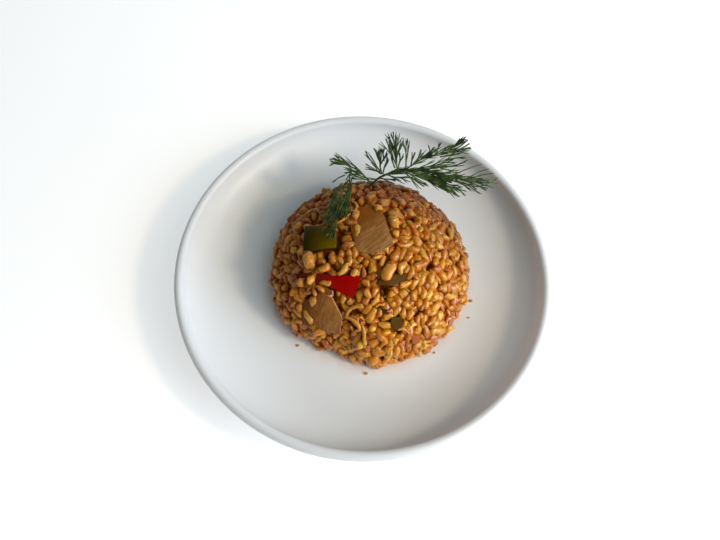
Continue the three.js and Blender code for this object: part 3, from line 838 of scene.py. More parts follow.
# %% Grains placed one by one
# x and y from the mound's centre, length, width, turn in degrees, tone, and a 1 if it is on a cut piece
PLACED = {
    "plump": [
        (8.7, -19.6, 9.8, 6.4, 63, 0.75, 1), (12.7, -9, 9.4, 5.1, 69, 0.6),
        (0.5, -17.8, 6.7, 4.3, 103, 0.9), (-9.1, -21, 4.6, 3.9, 48, 0.95, 1),
        (-4.1, -20.5, 5.6, 3.5, 94, 0.25), (-2.9, -14.7, 5.2, 4.1, 74, 0.6),
        (5.7, -13.5, 6.3, 3.6, 78, 0.9), (-20.9, -12.6, 6.9, 4.9, 94, 0.45),
        (-23.7, -18, 7.1, 4.3, 15, 0.6, 1), (-13.4, -2.1, 7.8, 5.9, 15, 0.4),
        (-15.7, -10, 4.7, 4.4, 64, 0.5), (-30.1, -23, 5.2, 4, 94, 0.9, 1),
        (-39.5, -22.8, 7, 5.3, 28, 0.45), (-35.8, -27.8, 6, 5.4, 81, 0.7),
        (-46.5, -26.5, 5.6, 6.6, 101, 0.5), (1.4, -40.3, 8.9, 5.7, 65, 0.85),
        (-14.6, -33.9, 6.4, 4, 99, 0.6), (5.8, -35.3, 5.6, 3.1, 18, 0.75),
        (-2.2, -25.9, 5.5, 4.5, 164, 0.75), (2.3, -29.8, 6.1, 4.6, 64, 0.4),
        (5.8, -38.9, 4.1, 3.6, 64, 0.35), (10.4, -39.9, 6.1, 4, 17, 0.65),
        (19.3, -8.6, 7.2, 6, 63, 0.7), (11.8, 15.9, 9.6, 6.6, 167, 0.5), (5.4, 24, 8.5, 6.6, 39, 0.4),
        (21.3, 25.8, 9.8, 6.6, 67, 0.5), (29.7, 31.5, 7, 6.6, 149, 0.65),
        (27.9, 16.8, 7.1, 6.6, 161, 0.8), (29.2, 8.2, 9.8, 6, 105, 0.5),
        (37.1, 7.6, 9.8, 6.6, 131, 0.55), (34, 14.4, 9.8, 4.6, 50, 0.8),
        (40.5, 18.4, 9.8, 6.1, 67, 0.75), (38.3, -8.6, 7.3, 5.3, 57, 0.8),
        (33.7, -20.2, 7.8, 6.6, 58, 0.95), (27.9, -19, 9.8, 5.2, 63, 0.85),
        (18.7, -23.9, 8.1, 4.6, 25, 0.75), (17.7, -28.5, 5.8, 4.7, 22, 0.65),
        (23.5, -28.1, 7.2, 5.1, 78, 0.6), (28, -26.4, 6.7, 4.2, 89, 0.85),
        (26, -31.4, 4.6, 4.8, 60, 0.7), (29.8, -31, 5.2, 4.4, 59, 0.85),
        (21.9, -37.2, 6.3, 4.1, 74, 0.7), (44.5, -22.5, 8.5, 4.5, 175, 0.85),
        (39, -14.1, 7.6, 6.1, 151, 0.7), (43.3, -11.9, 6.8, 6.6, 78, 0.7),
        (30.1, -38, 9, 5.4, 86, 0.65), (36.5, -37.9, 5.5, 6.6, 11, 1), (38.9, -33.5, 5.7, 6, 86, 0.95),
        (9.1, -43.8, 8.4, 4.2, 175, 0.75), (9.5, -47.1, 6.2, 5.2, 22, 0.7),
        (4.2, -51, 7.5, 5.7, 69, 0.45), (-10.9, -46.8, 4.9, 4.4, 21, 0.5),
        (-13, -52.9, 6.6, 5.4, 116, 0.7), (-5.3, -51.4, 8, 5.1, 70, 0.5),
        (16.3, -53.4, 9.8, 6.6, 82, 0.6), (7.2, -54.9, 9.1, 6.6, 177, 0.5),
        (12, -53, 6.1, 5.3, 57, 0.8), (-5.3, -54.3, 6.1, 5.2, 38, 0.5), (-7.6, 25, 6.5, 4.5, 73, 0.6),
        (-25.3, -27.6, 4.9, 3.2, 153, 0.4, 1), (-16.8, -30.6, 4.6, 3.1, 73, 0.5),
        (-35, -23.1, 5.3, 4.6, 82, 0.4, 1), (-17.5, -49.5, 9.5, 4.7, 69, 0.75),
        (-35.9, -42.5, 9.8, 6.3, 35, 0.3), (1.8, 16.9, 4.4, 4.4, 20, 0.55, 1),
        (2.5, -12.5, 5.2, 3.1, 25, 0.7, 1),
    ],
    "long": [
        (20.9, -16.6, 9.8, 3.3, 82, 0.8), (-12.1, -14.6, 6.2, 3.1, 84, 0.95),
        (-14.3, -19.3, 7.6, 3.4, 58, 1, 1), (-8.1, -17.1, 6.2, 3.1, 172, 0.55),
        (-37.5, -12.3, 9.3, 4.4, 124, 0.4), (-37.1, -34, 5.7, 4.2, 92, 0.5),
        (3.4, -33.3, 7.3, 3.6, 54, 0.85), (17.7, -2.5, 9.5, 3.9, 22, 0.85),
        (17.4, 1.2, 8.3, 2.8, 27, 0.8), (23.6, 1.2, 9.8, 6.3, 124, 0.6),
        (27.8, -6, 9.4, 4.2, 121, 0.85), (32.6, 6.3, 8.5, 5, 100, 0.95),
        (18.4, -37, 7.4, 3.9, 90, 0.55), (35.6, -30.5, 9.6, 5.4, 25, 0.8),
        (26.3, -39.3, 7.4, 3.4, 91, 0.4), (-9.7, -52.2, 4.8, 2.9, 152, 0.75),
        (-15.6, 10.7, 8.6, 4.2, 33, 0.75), (-23.1, -25.2, 6.7, 2.8, 180, 0.55, 1),
        (-30.7, -44.1, 8.5, 3.3, 31, 0.6), (-28.2, -28.6, 4.6, 3, 120, 0.4, 1),
    ],
    "split": [
        (16, -16.2, 8, 4.2, 73, 0.85), (-31.4, -13.4, 9.3, 6.6, 101, 0.35, 1),
        (-4.8, -31.7, 8.1, 5, 64, 0.7), (27.7, -11.2, 8, 6.3, 43, 0.35),
        (34.5, -26.1, 6.5, 6, 57, 0.75), (9.2, -50.6, 6.7, 4.8, 69, 0.5),
    ],
    "broken": [
        (-26, -14.1, 4.4, 3.3, 18, 0.4), (-8.9, -9.3, 7, 4.7, 84, 0.65),
        (-32.7, -28.4, 4.5, 2.1, 20, 0.7), (-40.1, -32.2, 5.9, 4.2, 59, 0.4),
        (16.2, 4, 5.1, 4.3, 12, 0.6), (11.8, 1.6, 4.3, 3.6, 10, 0.8, 1),
        (24.4, 11.6, 6.6, 4.3, 39, 0.85), (42.8, -5.3, 7.1, 4.5, 16, 0.75),
        (12.9, -27.6, 5.7, 4.1, 144, 0.55), (19.6, -33.3, 5.5, 3.1, 175, 0.85),
        (33.2, -15.1, 5.4, 4.5, 81, 0.65), (19.7, -41.4, 3.9, 3.6, 64, 0.7),
        (2.9, -45.7, 4.6, 3.7, 3, 0.9), (2.6, -48.3, 5.7, 3, 177, 0.3),
        (15.4, -49.1, 4.1, 3.9, 68, 0.9), (17.5, -47, 4.7, 3.4, 30, 0.7),
        (-17.8, 8.3, 4.8, 4.1, 6, 0.6), (-6.1, -13, 4.6, 3.1, 54, 0.6),
    ],
    "curled": [
        (12, -33.1, 7.8, 4.1, 124, 0.8), (10.3, 8.8, 7.3, 5.3, 109, 0.7, 1),
        (-12.6, 18, 8, 6.6, 149, 0.55),
    ],
}
HOLLOWS = [  # x and y from the mound's centre, and radius
    (6.8, -27.4, 2.3), (9.5, -27.8, 1.8), (27.6, 2.6, 2.1), (31.5, -12.2, 2.2), (15.6, -45.6, 1.9),
    (18.2, -40.2, 1.9), (1.9, -34, 1.5), (-7.6, -39.2, 2.0), (27.4, -34.6, 1.8), (-34.5, -30, 1.9),
    (-42.5, -26.5, 1.6), (-24.3, -11.4, 2.4), (-15.5, -4.6, 1.8), (-4, -9.5, 1.5), (20.6, 15, 1.9),
    (-27, -31.6, 1.4),
]
print("placed one by one:", {kind: len(rows) for kind, rows in PLACED.items()})

# %% Grains before settling
rng = np.random.default_rng(17)
TOP_LAYER, LOWER_LAYER, BITS = 690, 560, 330
KINDS = {"plump": 0.47, "long": 0.25, "split": 0.12, "broken": 0.12, "curled": 0.04}
# usual length, spread of its logarithm, shortest and longest
GRAIN_LENGTHS, BIT_LENGTHS = (7.3, 0.2, 4.4, 10.4), (3.1, 0.22, 1.9, 4.6)
WIDTH_SHARE, WIDTH_SPREAD, WIDEST = 0.59, 0.09, 6.6
PLACED_DEPTH, TOP_DEPTH, LOWER_DEPTH, BIT_DEPTH = -0.35, 0.55, 4.0, 1.6  # of a grain's upper side
GOLDEN_ANGLE = math.pi * (3 - math.sqrt(5))


def strewn(count):
    """Places spread evenly over the whole dome by the golden angle and then unsettled a little."""
    step = np.arange(count) + 0.5
    rise = (step / count + rng.normal(0, 0.02, count)).clip(0, 1)
    azimuth = step * GOLDEN_ANGLE + rng.normal(0, 0.03, count)
    run = MOUND_RADIUS * np.sqrt(1 - rise * rise)
    return np.stack([run * np.cos(azimuth), run * np.sin(azimuth), MOUND_HEIGHT * rise], axis=1)


def lengths(usual, spread, shortest, longest):
    return np.clip(rng.lognormal(math.log(usual), spread, count), shortest, longest)


placed = [(*row, 0)[:7] for rows in PLACED.values() for row in rows]
placed = np.array(placed + [(x, y, 3.0 * r, 2.6 * r, 0, 0, 0) for x, y, r in HOLLOWS])
kind = [kind for kind, rows in PLACED.items() for row in rows] + ["hollow"] * len(HOLLOWS)
kind += list(rng.choice(list(KINDS), TOP_LAYER + LOWER_LAYER, p=list(KINDS.values())))
kind = np.array(kind + ["bit"] * BITS)
count, pinned = len(kind), len(placed)
layer = np.repeat([0, 1, 2, 3], [pinned, TOP_LAYER, LOWER_LAYER, BITS])
spread = [strewn(share) for share in (TOP_LAYER, LOWER_LAYER, BITS)]
place = np.concatenate([[outer_point(x, y) for x, y in placed[:, :2]], *spread])
length = lengths(*GRAIN_LENGTHS)
length = np.where(layer == 3, lengths(*BIT_LENGTHS), length)
width = np.clip(length * rng.normal(WIDTH_SHARE, WIDTH_SPREAD, count), 0, WIDEST)
length[:pinned], width[:pinned] = placed[:, 2], placed[:, 3]
thick = width * rng.uniform(0.74, 0.95, count)
tone = rng.uniform(0, 1, count)
tone[:pinned] = placed[:, 5]
below = [
    np.full(count, PLACED_DEPTH),
    rng.normal(TOP_DEPTH, 0.6, count),
    LOWER_DEPTH + rng.normal(0, 0.5, count),
    BIT_DEPTH + np.abs(rng.normal(0, 1.3, count)),
]
depth = thick * 0.5 + np.choose(layer, below)
out = way_out(place)
along, across = ways_along(out)
spin = rng.uniform(0, 2 * math.pi, count)
spin[:pinned] = np.radians(placed[:, 4])
tilt = rng.normal(0, 0.3, count)
tilt[:pinned] = 0
lie = unit(along * np.cos(spin)[:, None] + across * np.sin(spin)[:, None] + out * np.tan(tilt)[:, None])
print("grains to settle:", count, "of which", pinned, "stay in place")


# %% Keeping grains off the cut pieces
# How far outside a cut piece a grain lies to be free of it; below 0 it may lie on the rim.
MARGINS = {"onion_upper": -1.2, "onion_lower": -1.2, "green_pepper": 0.3, "red_pepper": 0.9}
MARGINS |= {"tomato_front": -0.2, "tomato_side": -0.2}
OTHER_MARGIN = 1.2
FACES_PIECE = 0.2  # smallest cosine between the way to a grain and the way out of a piece on it
RIM_FROM, RIM_TO, RIM_SIDE = 0.4, 2.6, 2.0  # the strip of an onion's rim that grains may cover


def inside_by(spots, topping):
    """How far places lie inside a cut piece's outline, seen from the mound's centre."""
    place, corners, _ = CUTS[topping]
    centre = outer_point(*place)
    out = way_out(on_core(centre, 0.0) - MOUND_CENTRE)
    along, across = ways_along(out)
    toward = unit(spots)
    facing = toward @ out
    hit = toward * (centre @ out / np.where(facing > FACES_PIECE, facing, np.inf))[:, None] - centre
    flat = np.stack([hit @ along, hit @ across], axis=1)
    nearest = np.full(len(spots), np.inf)
    within = np.zeros(len(spots), bool)
    for a, b in zip(np.array(corners, float), np.array(corners[1:] + corners[:1], float)):
        share = (((flat - a) @ (b - a)) / ((b - a) @ (b - a))).clip(0, 1)
        nearest = np.minimum(nearest, np.linalg.norm(flat - a - share[:, None] * (b - a), axis=1))
        crosses = (a[1] > flat[:, 1]) != (b[1] > flat[:, 1])
        rise = b[1] - a[1] if b[1] != a[1] else 1e-9
        within ^= crosses & (flat[:, 0] < (b[0] - a[0]) * (flat[:, 1] - a[1]) / rise + a[0])
    return np.where(within & (facing > FACES_PIECE), nearest, -nearest)


def on_rim(spots):
    """Where places lie just inside the left or upper rim of an onion piece, which grains may cover."""
    found = np.zeros(len(spots), bool)
    for topping in ("onion_upper", "onion_lower"):
        inside = inside_by(spots, topping)
        side = (spots[:, :2] - np.array(CUTS[topping][0])) @ np.array([-0.8, 0.6])
        found |= (inside > RIM_FROM) & (inside < RIM_TO) & (side > RIM_SIDE)
    return found


def most_inside(spots):
    """Over zero where a place lies so far inside a cut piece that a grain there must be under it."""
    inside = [inside_by(spots, topping) + MARGINS.get(topping, OTHER_MARGIN) for topping in CUTS]
    return np.max(inside, axis=0)


# %% The mound's outside
# azimuth in degrees, height, and half width in degrees
BULGES = [(-45, 1.4, 16), (-142, 1.2, 10), (135, 1.2, 12), (-105, -1.3, 12), (90, -1.2, 25)]
PRESSED_IN = 0.4  # how much lower the outside lies than the tops of the CAD model's grains


def reach_outside(direction):
    """The mound's outside: the core's rule with the grains on it, and the bulges that its edge shows."""
    reach = core_reach(direction) + GRAIN_STAND - PRESSED_IN
    for bulge in BULGES:
        reach = reach + swell(direction, *bulge)
    return reach


print("outside at the top:", round(float(reach_outside(np.array([[0, 0, 1.0]]))[0]), 1), "mm")


# %% One round of pushing
BALLS = np.array([-1.0, 0.0, 1.0])  # the balls of a grain, from end to end
SQUEEZE = 0.8  # soft grains touch at this share of their radii
BLOCK = 400  # places that are compared with all others at once


def near_pairs(places, reach):
    """Index pairs of places that are closer than reach, each pair once."""
    rows = []
    for start in range(0, len(places), BLOCK):
        gap = np.linalg.norm(places[start : start + BLOCK, None] - places[None], axis=2)
        i, j = np.nonzero(gap < reach)
        rows.append(np.stack([i + start, j], axis=1))
    pairs = np.concatenate(rows)
    return pairs[pairs[:, 0] < pairs[:, 1]]


def balls_of(place, lie):
    return place[:, None] + lie[:, None] * (half[:, None] * BALLS)[..., None]


def pushes(place, lie, pairs):
    """How far each grain is pushed and swung by its neighbours, and how much of that it may follow."""
    balls = balls_of(place, lie)
    shift, swing, hits = np.zeros_like(place), np.zeros_like(place), np.zeros(count)
    i, j = pairs.T
    gap = balls[i][:, :, None] - balls[j][:, None]
    dist = np.linalg.norm(gap, axis=3).clip(1e-6)
    over = (SQUEEZE * (radius[i] + radius[j])[:, None, None] - dist).clip(0)
    push = gap / dist[..., None] * (over * 0.5)[..., None]
    for index, force in ((i, push.sum(2)), (j, -push.sum(1))):
        np.add.at(shift, index, force.sum(1))
        np.add.at(swing, index, (force * BALLS[:, None]).sum(1) / half[index][:, None])
        np.add.at(hits, index, (over > 0).any(axis=(1, 2)))
    return shift, swing, 0.9 / np.maximum(hits, 1)[:, None] ** 0.5


# %% Settling rounds
ROUNDS, CALM_FROM, PAIRS_EVERY = 72, 60, 8
PAIR_REACH = 9.5
UNDER = 3.2  # the depth of the underside of the cut pieces below the mound's outside
ON_CUT = 0.75  # how much higher a grain lies that rests on a cut piece, as a share of its thickness
HOLLOW_SINK, RIM_RISE, CLIMBING = 0.6, 1.1, 0.7  # the last is the share that may climb a rim
SHIFT_SHARE, SWING_SHARE = 0.6, 0.25  # how much of a push a grain follows in one round
PULL, CALM_PULL, COVERED_PULL = 0.35, 0.12, 0.9  # how far it goes back to its depth
LEVEL, COVERED_LEVEL = 0.05, 0.6  # how much of its tilt it loses
ABOVE_FLOOR = 0.05

radius = (width + thick) / 4
half = (length / 2 - radius).clip(0.3)
seat = unit(place[:pinned]) * reach_outside(unit(place[:pinned]))[:, None]
seat -= out[:pinned] * (depth[:pinned] - ON_CUT * thick[:pinned] * placed[:, 6])[:, None]
hollow = kind[:pinned] == "hollow"
seat[hollow] -= HOLLOW_SINK * out[:pinned][hollow]
laid = lie[:pinned].copy()
climbs = (rng.random(count) < CLIMBING) & (layer == 1)
for turn in range(ROUNDS):
    if turn % PAIRS_EVERY == 0:
        pairs = near_pairs(place, PAIR_REACH)
        covered = most_inside(place) > 0
        deep = np.where(covered, np.maximum(depth, UNDER + thick * 0.5), depth)
        deep = np.where(on_rim(place) & climbs, thick * 0.5 - RIM_RISE, deep)
    shift, swing, ease = pushes(place, lie, pairs)
    place = place + shift * ease * SHIFT_SHARE
    lie = unit(lie + swing * ease * SWING_SHARE)
    below = reach_outside(unit(place)) - np.linalg.norm(place, axis=1)
    out = way_out(place)
    pull = np.where(covered, COVERED_PULL, PULL if turn < CALM_FROM else CALM_PULL)
    place = place - out * ((deep - below) * pull)[:, None]
    lowest = place[:, 2] - np.abs(lie[:, 2]) * half - radius
    place[:, 2] += (ABOVE_FLOOR - lowest).clip(0)
    lean = (lie * out).sum(1, keepdims=True)
    lie = unit(lie - out * lean * np.where(covered, COVERED_LEVEL, LEVEL)[:, None])
    place[:pinned], lie[:pinned] = seat, laid
balls = balls_of(place, lie)
left_over = float(np.linalg.norm(shift, axis=1).mean())
print("settled", count, "grains; mean overlap pushes left:", round(left_over, 3), "mm")

# %% [markdown]
# ## Copying the grains
#
# Each kind becomes one joined mesh. Every copy gets its own length, width, bend, twist and cracks, and
# a slow wave moves neighbours together, as soft grains press each other out of shape. Numbers stored on
# the vertices tell the finish what each spot is: its tone, its redness where a grain took up more
# tomato and oil, how deep it is sunk, how near the next grain is, and whether it is in the crease.


# %% Copies of a grain
NEIGHBOUR_REACH = 9
wave_rng = np.random.default_rng(8)
WAVE_WAYS = unit(wave_rng.normal(size=(7, 3))) * (2 * math.pi / wave_rng.uniform(3.4, 9.0, (7, 1)))
WAVE_PUSH = wave_rng.normal(0, 0.1, (7, 3))
WAVE_START = wave_rng.uniform(0, 6.28, 7)
CRACK_NEAR, CRACK_FAR, CRACK_SHARE = 0.34, 0.55, 0.35  # where cracks cut a grain, and how far


def copies(flat, rows, seed):
    """Corner places of a shape's copies, one block for every row of the settled grains."""
    rng = np.random.default_rng(seed)
    n = len(rows)
    local = np.repeat(flat[None], n, axis=0)
    cracks = unit(rng.normal(size=(n, 2, 3)) * [1, 1, 0.5])
    for crack in range(2):
        beyond = (local * cracks[:, None, crack]).sum(-1) - rng.uniform(CRACK_NEAR, CRACK_FAR, (n, 1))
        local = local - cracks[:, None, crack] * (beyond.clip(0) * CRACK_SHARE)[..., None]
    bend = rng.normal(0, 0.09, (n, 1))
    taper = 1 + rng.normal(0, 0.16, (n, 1)) * local[..., 2]
    twist = rng.normal(0, 0.3, (n, 1)) * local[..., 2]
    around = np.arctan2(local[..., 1], local[..., 0])
    dents = 1 + 0.055 * np.sin(local[..., 2] * 8 + rng.uniform(0, 6.28, (n, 1)) + 2 * around)
    dents = dents + 0.05 * np.sin(local[..., 2] * 13 + rng.uniform(0, 6.28, (n, 1)) - 3 * around)
    x, y = local[..., 0] * taper * dents, local[..., 1] * taper * dents
    x, y = x * np.cos(twist) - y * np.sin(twist), x * np.sin(twist) + y * np.cos(twist)
    x = x * width[rows][:, None] + bend * length[rows][:, None] * (local[..., 2] ** 2 * 4 - 0.4)
    y = y * thick[rows][:, None]
    z = local[..., 2] * length[rows][:, None]
    side = unit(np.cross(way_out(place[rows]), lie[rows]))
    upward = np.cross(lie[rows], side)
    roll = rng.uniform(-1.2, 1.2, (n, 1))
    turned_side = side * np.cos(roll) + upward * np.sin(roll)
    upward = upward * np.cos(roll) - side * np.sin(roll)
    points = place[rows][:, None] + x[..., None] * turned_side[:, None]
    points = points + y[..., None] * upward[:, None] + z[..., None] * lie[rows][:, None]
    points = points + np.sin(points @ WAVE_WAYS.T + WAVE_START) @ WAVE_PUSH
    points[..., 2] = points[..., 2].clip(ABOVE_FLOOR)
    return points


def next_gap(points, rows):
    """How far each corner is from the nearest other grain's surface."""
    gaps = np.empty(points.shape[:2])
    grains = np.nonzero(kind != "hollow")[0]
    for k, row in enumerate(rows):
        close = np.linalg.norm(place[grains] - place[row], axis=1) < NEIGHBOUR_REACH
        near = grains[close & (grains != row)]
        apart = np.linalg.norm(points[k][:, None, None] - balls[near], axis=3) - radius[near][:, None]
        gaps[k] = apart.min(axis=(1, 2))
    return gaps


# %% Joined meshes
def join_copies(name, points, faces):
    """One smooth mesh of many copies: a block of points for each, and the same faces in all."""
    step = points.shape[1]
    all_faces = [tuple(c + k * step for c in face) for k in range(len(points)) for face in faces]
    mesh = bpy.data.meshes.new(name)
    mesh.from_pydata(((points.reshape(-1, 3) + MOUND_CENTRE) * MM).tolist(), [], all_faces)
    piece = bpy.data.objects.new(name, mesh)
    scene.collection.objects.link(piece)
    take(piece)
    bpy.ops.object.shade_smooth()
    return piece


def heap_of(name, shape, rows, seed):
    """The copies of one kind, with the numbers that their finish reads."""
    flat, faces = shape
    points = copies(flat, rows, seed)
    piece = join_copies(name, points, faces)
    spots = points.reshape(-1, 3)
    rng = np.random.default_rng(seed + 50)
    store(piece, "tone", np.repeat(tone[rows], len(flat)))
    store(piece, "redness", np.repeat(rng.uniform(0, 1, len(rows)) ** 2, len(flat)))
    store(piece, "sunk", reach_outside(unit(spots)) - np.linalg.norm(spots, axis=1))
    store(piece, "gap", next_gap(points, rows).ravel())
    store(piece, "crease", np.tile((np.abs(flat[:, 0]) < 0.06) & (flat[:, 1] > 0.02), len(rows)))
    return piece


heap = {}
for index, name in enumerate(shapes):
    rows = np.nonzero(kind == name)[0]
    heap[name] = heap_of(f"grains_{name}", shapes[name], rows, 100 + index)
    print(f"grains_{name}:", len(rows), "grains,", len(heap[name].data.polygons), "faces")

# %% [markdown]
# ## Grain finish
#
# Cooked bulgur is translucent and wet: golden where light comes through, orange to brown where oil
# and tomato have soaked in, with soft pale highlights. The tone stored on each grain moves its colour
# along a ramp, noise breaks it up inside the grain, and a little subsurface light softens it. Light
# and shade are painted in too. Two masks across the dish paint the far left, the back and the part
# under the dill darker and redder, as painted shade. Spots near the next grain and grains sunk deep
# are painted darker, partly for the sauce there and partly as painted shade, and the exposed tops of
# the grains get a painted pale highlight.

# %% Bulgur finish
grainy = Finish("cooked_bulgur")
sunk, gap = grainy.stored("sunk"), grainy.stored("gap")
cloud = grainy.noise(520.0, 3.0, 0.6)
skin = grainy.noise(1900.0, 2.0, 0.5)


def towards(way, start, end):
    """A mask that rises along a flat way over the dish, between two distances in metres."""
    along = grainy.vector("DOT_PRODUCT", grainy.place(), way, output="Value")
    return grainy.step(along + (cloud - 0.5) * 0.02, start, end)


hue = grainy.ramp(
    grainy.stored("tone") * 0.65 + cloud * 0.35,
    (0.15, rgb(164, 78, 0)),
    (0.4, rgb(194, 110, 0)),
    (0.65, rgb(218, 140, 2)),
    (0.88, rgb(244, 188, 70)),
)
soaked = grainy.mix(grainy.stored("redness") * 0.3, hue, rgb(190, 92, 0))
# painted shade: the far left and the back of the heap, which face away from the light, and the back
# towards the right, where the dill's shadow falls, are painted darker and redder; the coat is taken off
# the shaded side too
shaded = towards((-0.5, 0.87, 0), -0.05, 0.05)
painted_back_shade = grainy.mix(shaded * 0.8, soaked, rgb(112, 38, 0))
painted_back_shade = grainy.mix(towards((0.4, 0.9, 0), 0.015, 0.045) * 0.75, painted_back_shade, rgb(92, 30, 0))
creased = grainy.step(grainy.stored("crease") + (cloud - 0.5), 0.4, 0.95)
bran = grainy.mix(creased * 0.35, painted_back_shade, rgb(144, 64, 0))
deep = grainy.step(sunk, 1.0, 4.0)
# painted highlight: the exposed tops of the grains, far from the next grain and not sunk, are painted
# pale
ridge_highlight = grainy.step(gap, 0.9, 2.4) * (1 - grainy.step(sunk, 0.2, 2.0))
flecked = grainy.mix(grainy.step(skin, 0.52, 0.7) * 0.3, bran, rgb(240, 184, 96))
pitted = grainy.mix(grainy.step(skin, 0.48, 0.32) * 0.35, flecked, rgb(128, 56, 0))
pale = grainy.mix(ridge_highlight * cloud * 0.6, pitted, rgb(240, 190, 96))
# partly sauce and partly painted shade: spots close to the next grain are painted darker orange
sauce_and_contact_shade = 1 - grainy.step(gap + (skin - 0.5) * 0.6, -0.1, 0.6)
wet = grainy.mix(sauce_and_contact_shade * 0.45, pale, rgb(172, 80, 0))
# partly sauce and partly painted shade: grains sunk deep below the outside are painted darker red-brown
sauce_and_depth_shade = grainy.mix(grainy.step(sunk + cloud * 1.5, 2.8, 5.6), wet, rgb(132, 52, 0))
bulgur_finish = grainy.surface(
    sauce_and_depth_shade,
    0.33 + cloud * 0.1 + deep * 0.35,
    grainy.bump(cloud + skin * 0.7, 0.0007, 0.85),
    soft=(0.7, (1.0, 0.4, 0.05), 0.0042),
    glint=(0.15, OIL_TINT),
    coat=((1 - shaded * 0.9) * (1 - deep), 0.2),
)
for piece in heap.values():
    piece.data.materials.append(bulgur_finish)
    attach(piece, "root")
    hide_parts("bulgur")
print("grain finish on", len(heap), "meshes")

# %% [markdown]
# ## Sauce between the grains
#
# Oil and stock fill the narrow gaps of the real heap, so most gaps look orange and only the few wide
# ones are dark. The sauce is a thin lumpy skin a little below the tops of the grains, which rise out
# of it. It is made like the core, but finer, and sinks deep where a hollow is; there it is painted
# nearly black, as the shade in those wide gaps.

# %% Sauce skin
SAUCE_DEPTH, SAUCE_RISE, HOLLOW_DEPTH = 3.1, 0.25, 2.6  # below the outside, above the floor, extra depth
sauce_skin, start = new_dome("stock_sauce", 180, 100)
level = unit(start) * reach_outside(unit(start))[:, None]
lumps = np.sin(level @ WAVE_WAYS[:4].T * 1.3 + 2.0).sum(1) * 0.16
drop = SAUCE_DEPTH + lumps
for x, y, r in HOLLOWS:
    aside = np.linalg.norm(level - outer_point(x, y), axis=1) / (1.1 * r)
    drop = drop + HOLLOW_DEPTH * np.exp(-(aside**2))
level = level - way_out(level) * drop[:, None]
shape_dome(sauce_skin, start, level + MOUND_CENTRE, SAUCE_RISE)
store(sauce_skin, "low", drop - SAUCE_DEPTH)

stock = Finish("stock_and_oil")
streaky = stock.noise(420.0, 3.0, 0.6)
# painted shade: where the skin sinks at a hollow it is painted nearly black, as the shade in the wide
# gaps
sinks = stock.step(stock.stored("low"), 0.5, 1.8)
oil = stock.mix(streaky, rgb(104, 34, 0), rgb(156, 70, 0))
sauce_finish = stock.surface(
    stock.mix(sinks, oil, rgb(40, 8, 0)),
    0.3 + sinks * 0.5,
    stock.bump(streaky, 0.0009, 0.8),
    soft=(0.4, (1.0, 0.35, 0.05), 0.002),
    glint=(0.35, STOCK_TINT),
)
sauce_skin.data.materials.append(sauce_finish)
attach(sauce_skin, "root")
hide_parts("bulgur")
print("sauce:", len(sauce_skin.data.polygons), "faces")

# %% [markdown]
# ## Husks and crumbs
#
# Strips of wheat husk have come loose in cooking and lie curled on the grains. They are drawn as
# threads along the places where they lie. Some crumbs of grain have dropped on the plate round the
# mound. They are copies of the smallest kind of grain.

# %% Husk strips
HUSKS = [  # thickness, then x and y from the mound's centre, point by point
    (0.85, [(-12.2, -42.4), (-11.3, -40.0), (-9.4, -38.1), (-6.5, -37.2), (-3.5, -36.9)]),
    (0.95, [(-12.7, -42.4), (-10.1, -42.5), (-7.0, -43.7), (-4.6, -45.2), (-4.2, -46.6), (-6.2, -47.2)]),
    (0.75, [(-2.8, -44.8), (-1.6, -47.1), (-1.3, -50.2), (-1.0, -53.0)]),
    (0.4, [(-12.2, -35.3), (-10.7, -34.6), (-10.3, -33.5)]),
    (0.45, [(15.8, -44.4), (17.8, -43.7), (20.0, -43.9), (21.8, -44.8)]),
    (0.5, [(-19.9, 7.5), (-17.8, 8.6), (-15.3, 10.4), (-12.8, 13.0)]),
    (0.6, [(-12.4, 22.6), (-10.1, 20.2), (-9.4, 17.1), (-10.8, 14.6), (-13.0, 15.1)]),
    (0.45, [(-15.2, -51.8), (-13.2, -50.5), (-10.6, -51.0)]),
]
HUSK_POINTS, HUSK_LIFT, HUSK_THIN = 14, 0.35, 0.3


def smooth_row(points, steps):
    """Places along a smooth curve through the points (Catmull-Rom), evenly in the curve's own share."""
    points = np.asarray(points, float)
    ends = np.concatenate([[2 * points[0] - points[1]], points, [2 * points[-1] - points[-2]]])
    row = []
    for share in np.linspace(0, 1, steps):
        at = share * (len(points) - 1)
        i = min(int(at), len(points) - 2)
        t = at - i
        a, b, c, d = ends[i : i + 4]
        bend, twist = 2 * a - 5 * b + 4 * c - d, 3 * b - a - 3 * c + d
        row.append(0.5 * (2 * b + (c - a) * t + bend * t**2 + twist * t**3))
    return np.array(row)


husk_rows = []
husk_rng = np.random.default_rng(11)
for size, points in HUSKS:
    row = smooth_row([outer_point(x, y) for x, y in points], HUSK_POINTS)
    row = unit(row) * reach_outside(unit(row))[:, None] + way_out(row) * HUSK_LIFT
    swelling = size * np.sin(np.linspace(0.35, 2.8, HUSK_POINTS))
    radii = HUSK_THIN + swelling * husk_rng.uniform(0.75, 1.1, HUSK_POINTS)
    husk_rows.append((row + MOUND_CENTRE, radii))
husks = tubes("husk_strips", husk_rows)
husk = Finish("wheat_husk")
streaks = husk.noise(900.0, 2.0)
husk_finish = husk.surface(
    husk.mix(streaks, rgb(192, 118, 6), rgb(220, 160, 52)),
    0.38 + streaks * 0.2,
    husk.bump(streaks, 0.0003, 0.5),
    soft=(0.2, (1.0, 0.5, 0.2), 0.001),
    coat=(0.2, 0.3),
)
husks.data.materials.append(husk_finish)
print("husk strips:", len(HUSKS))

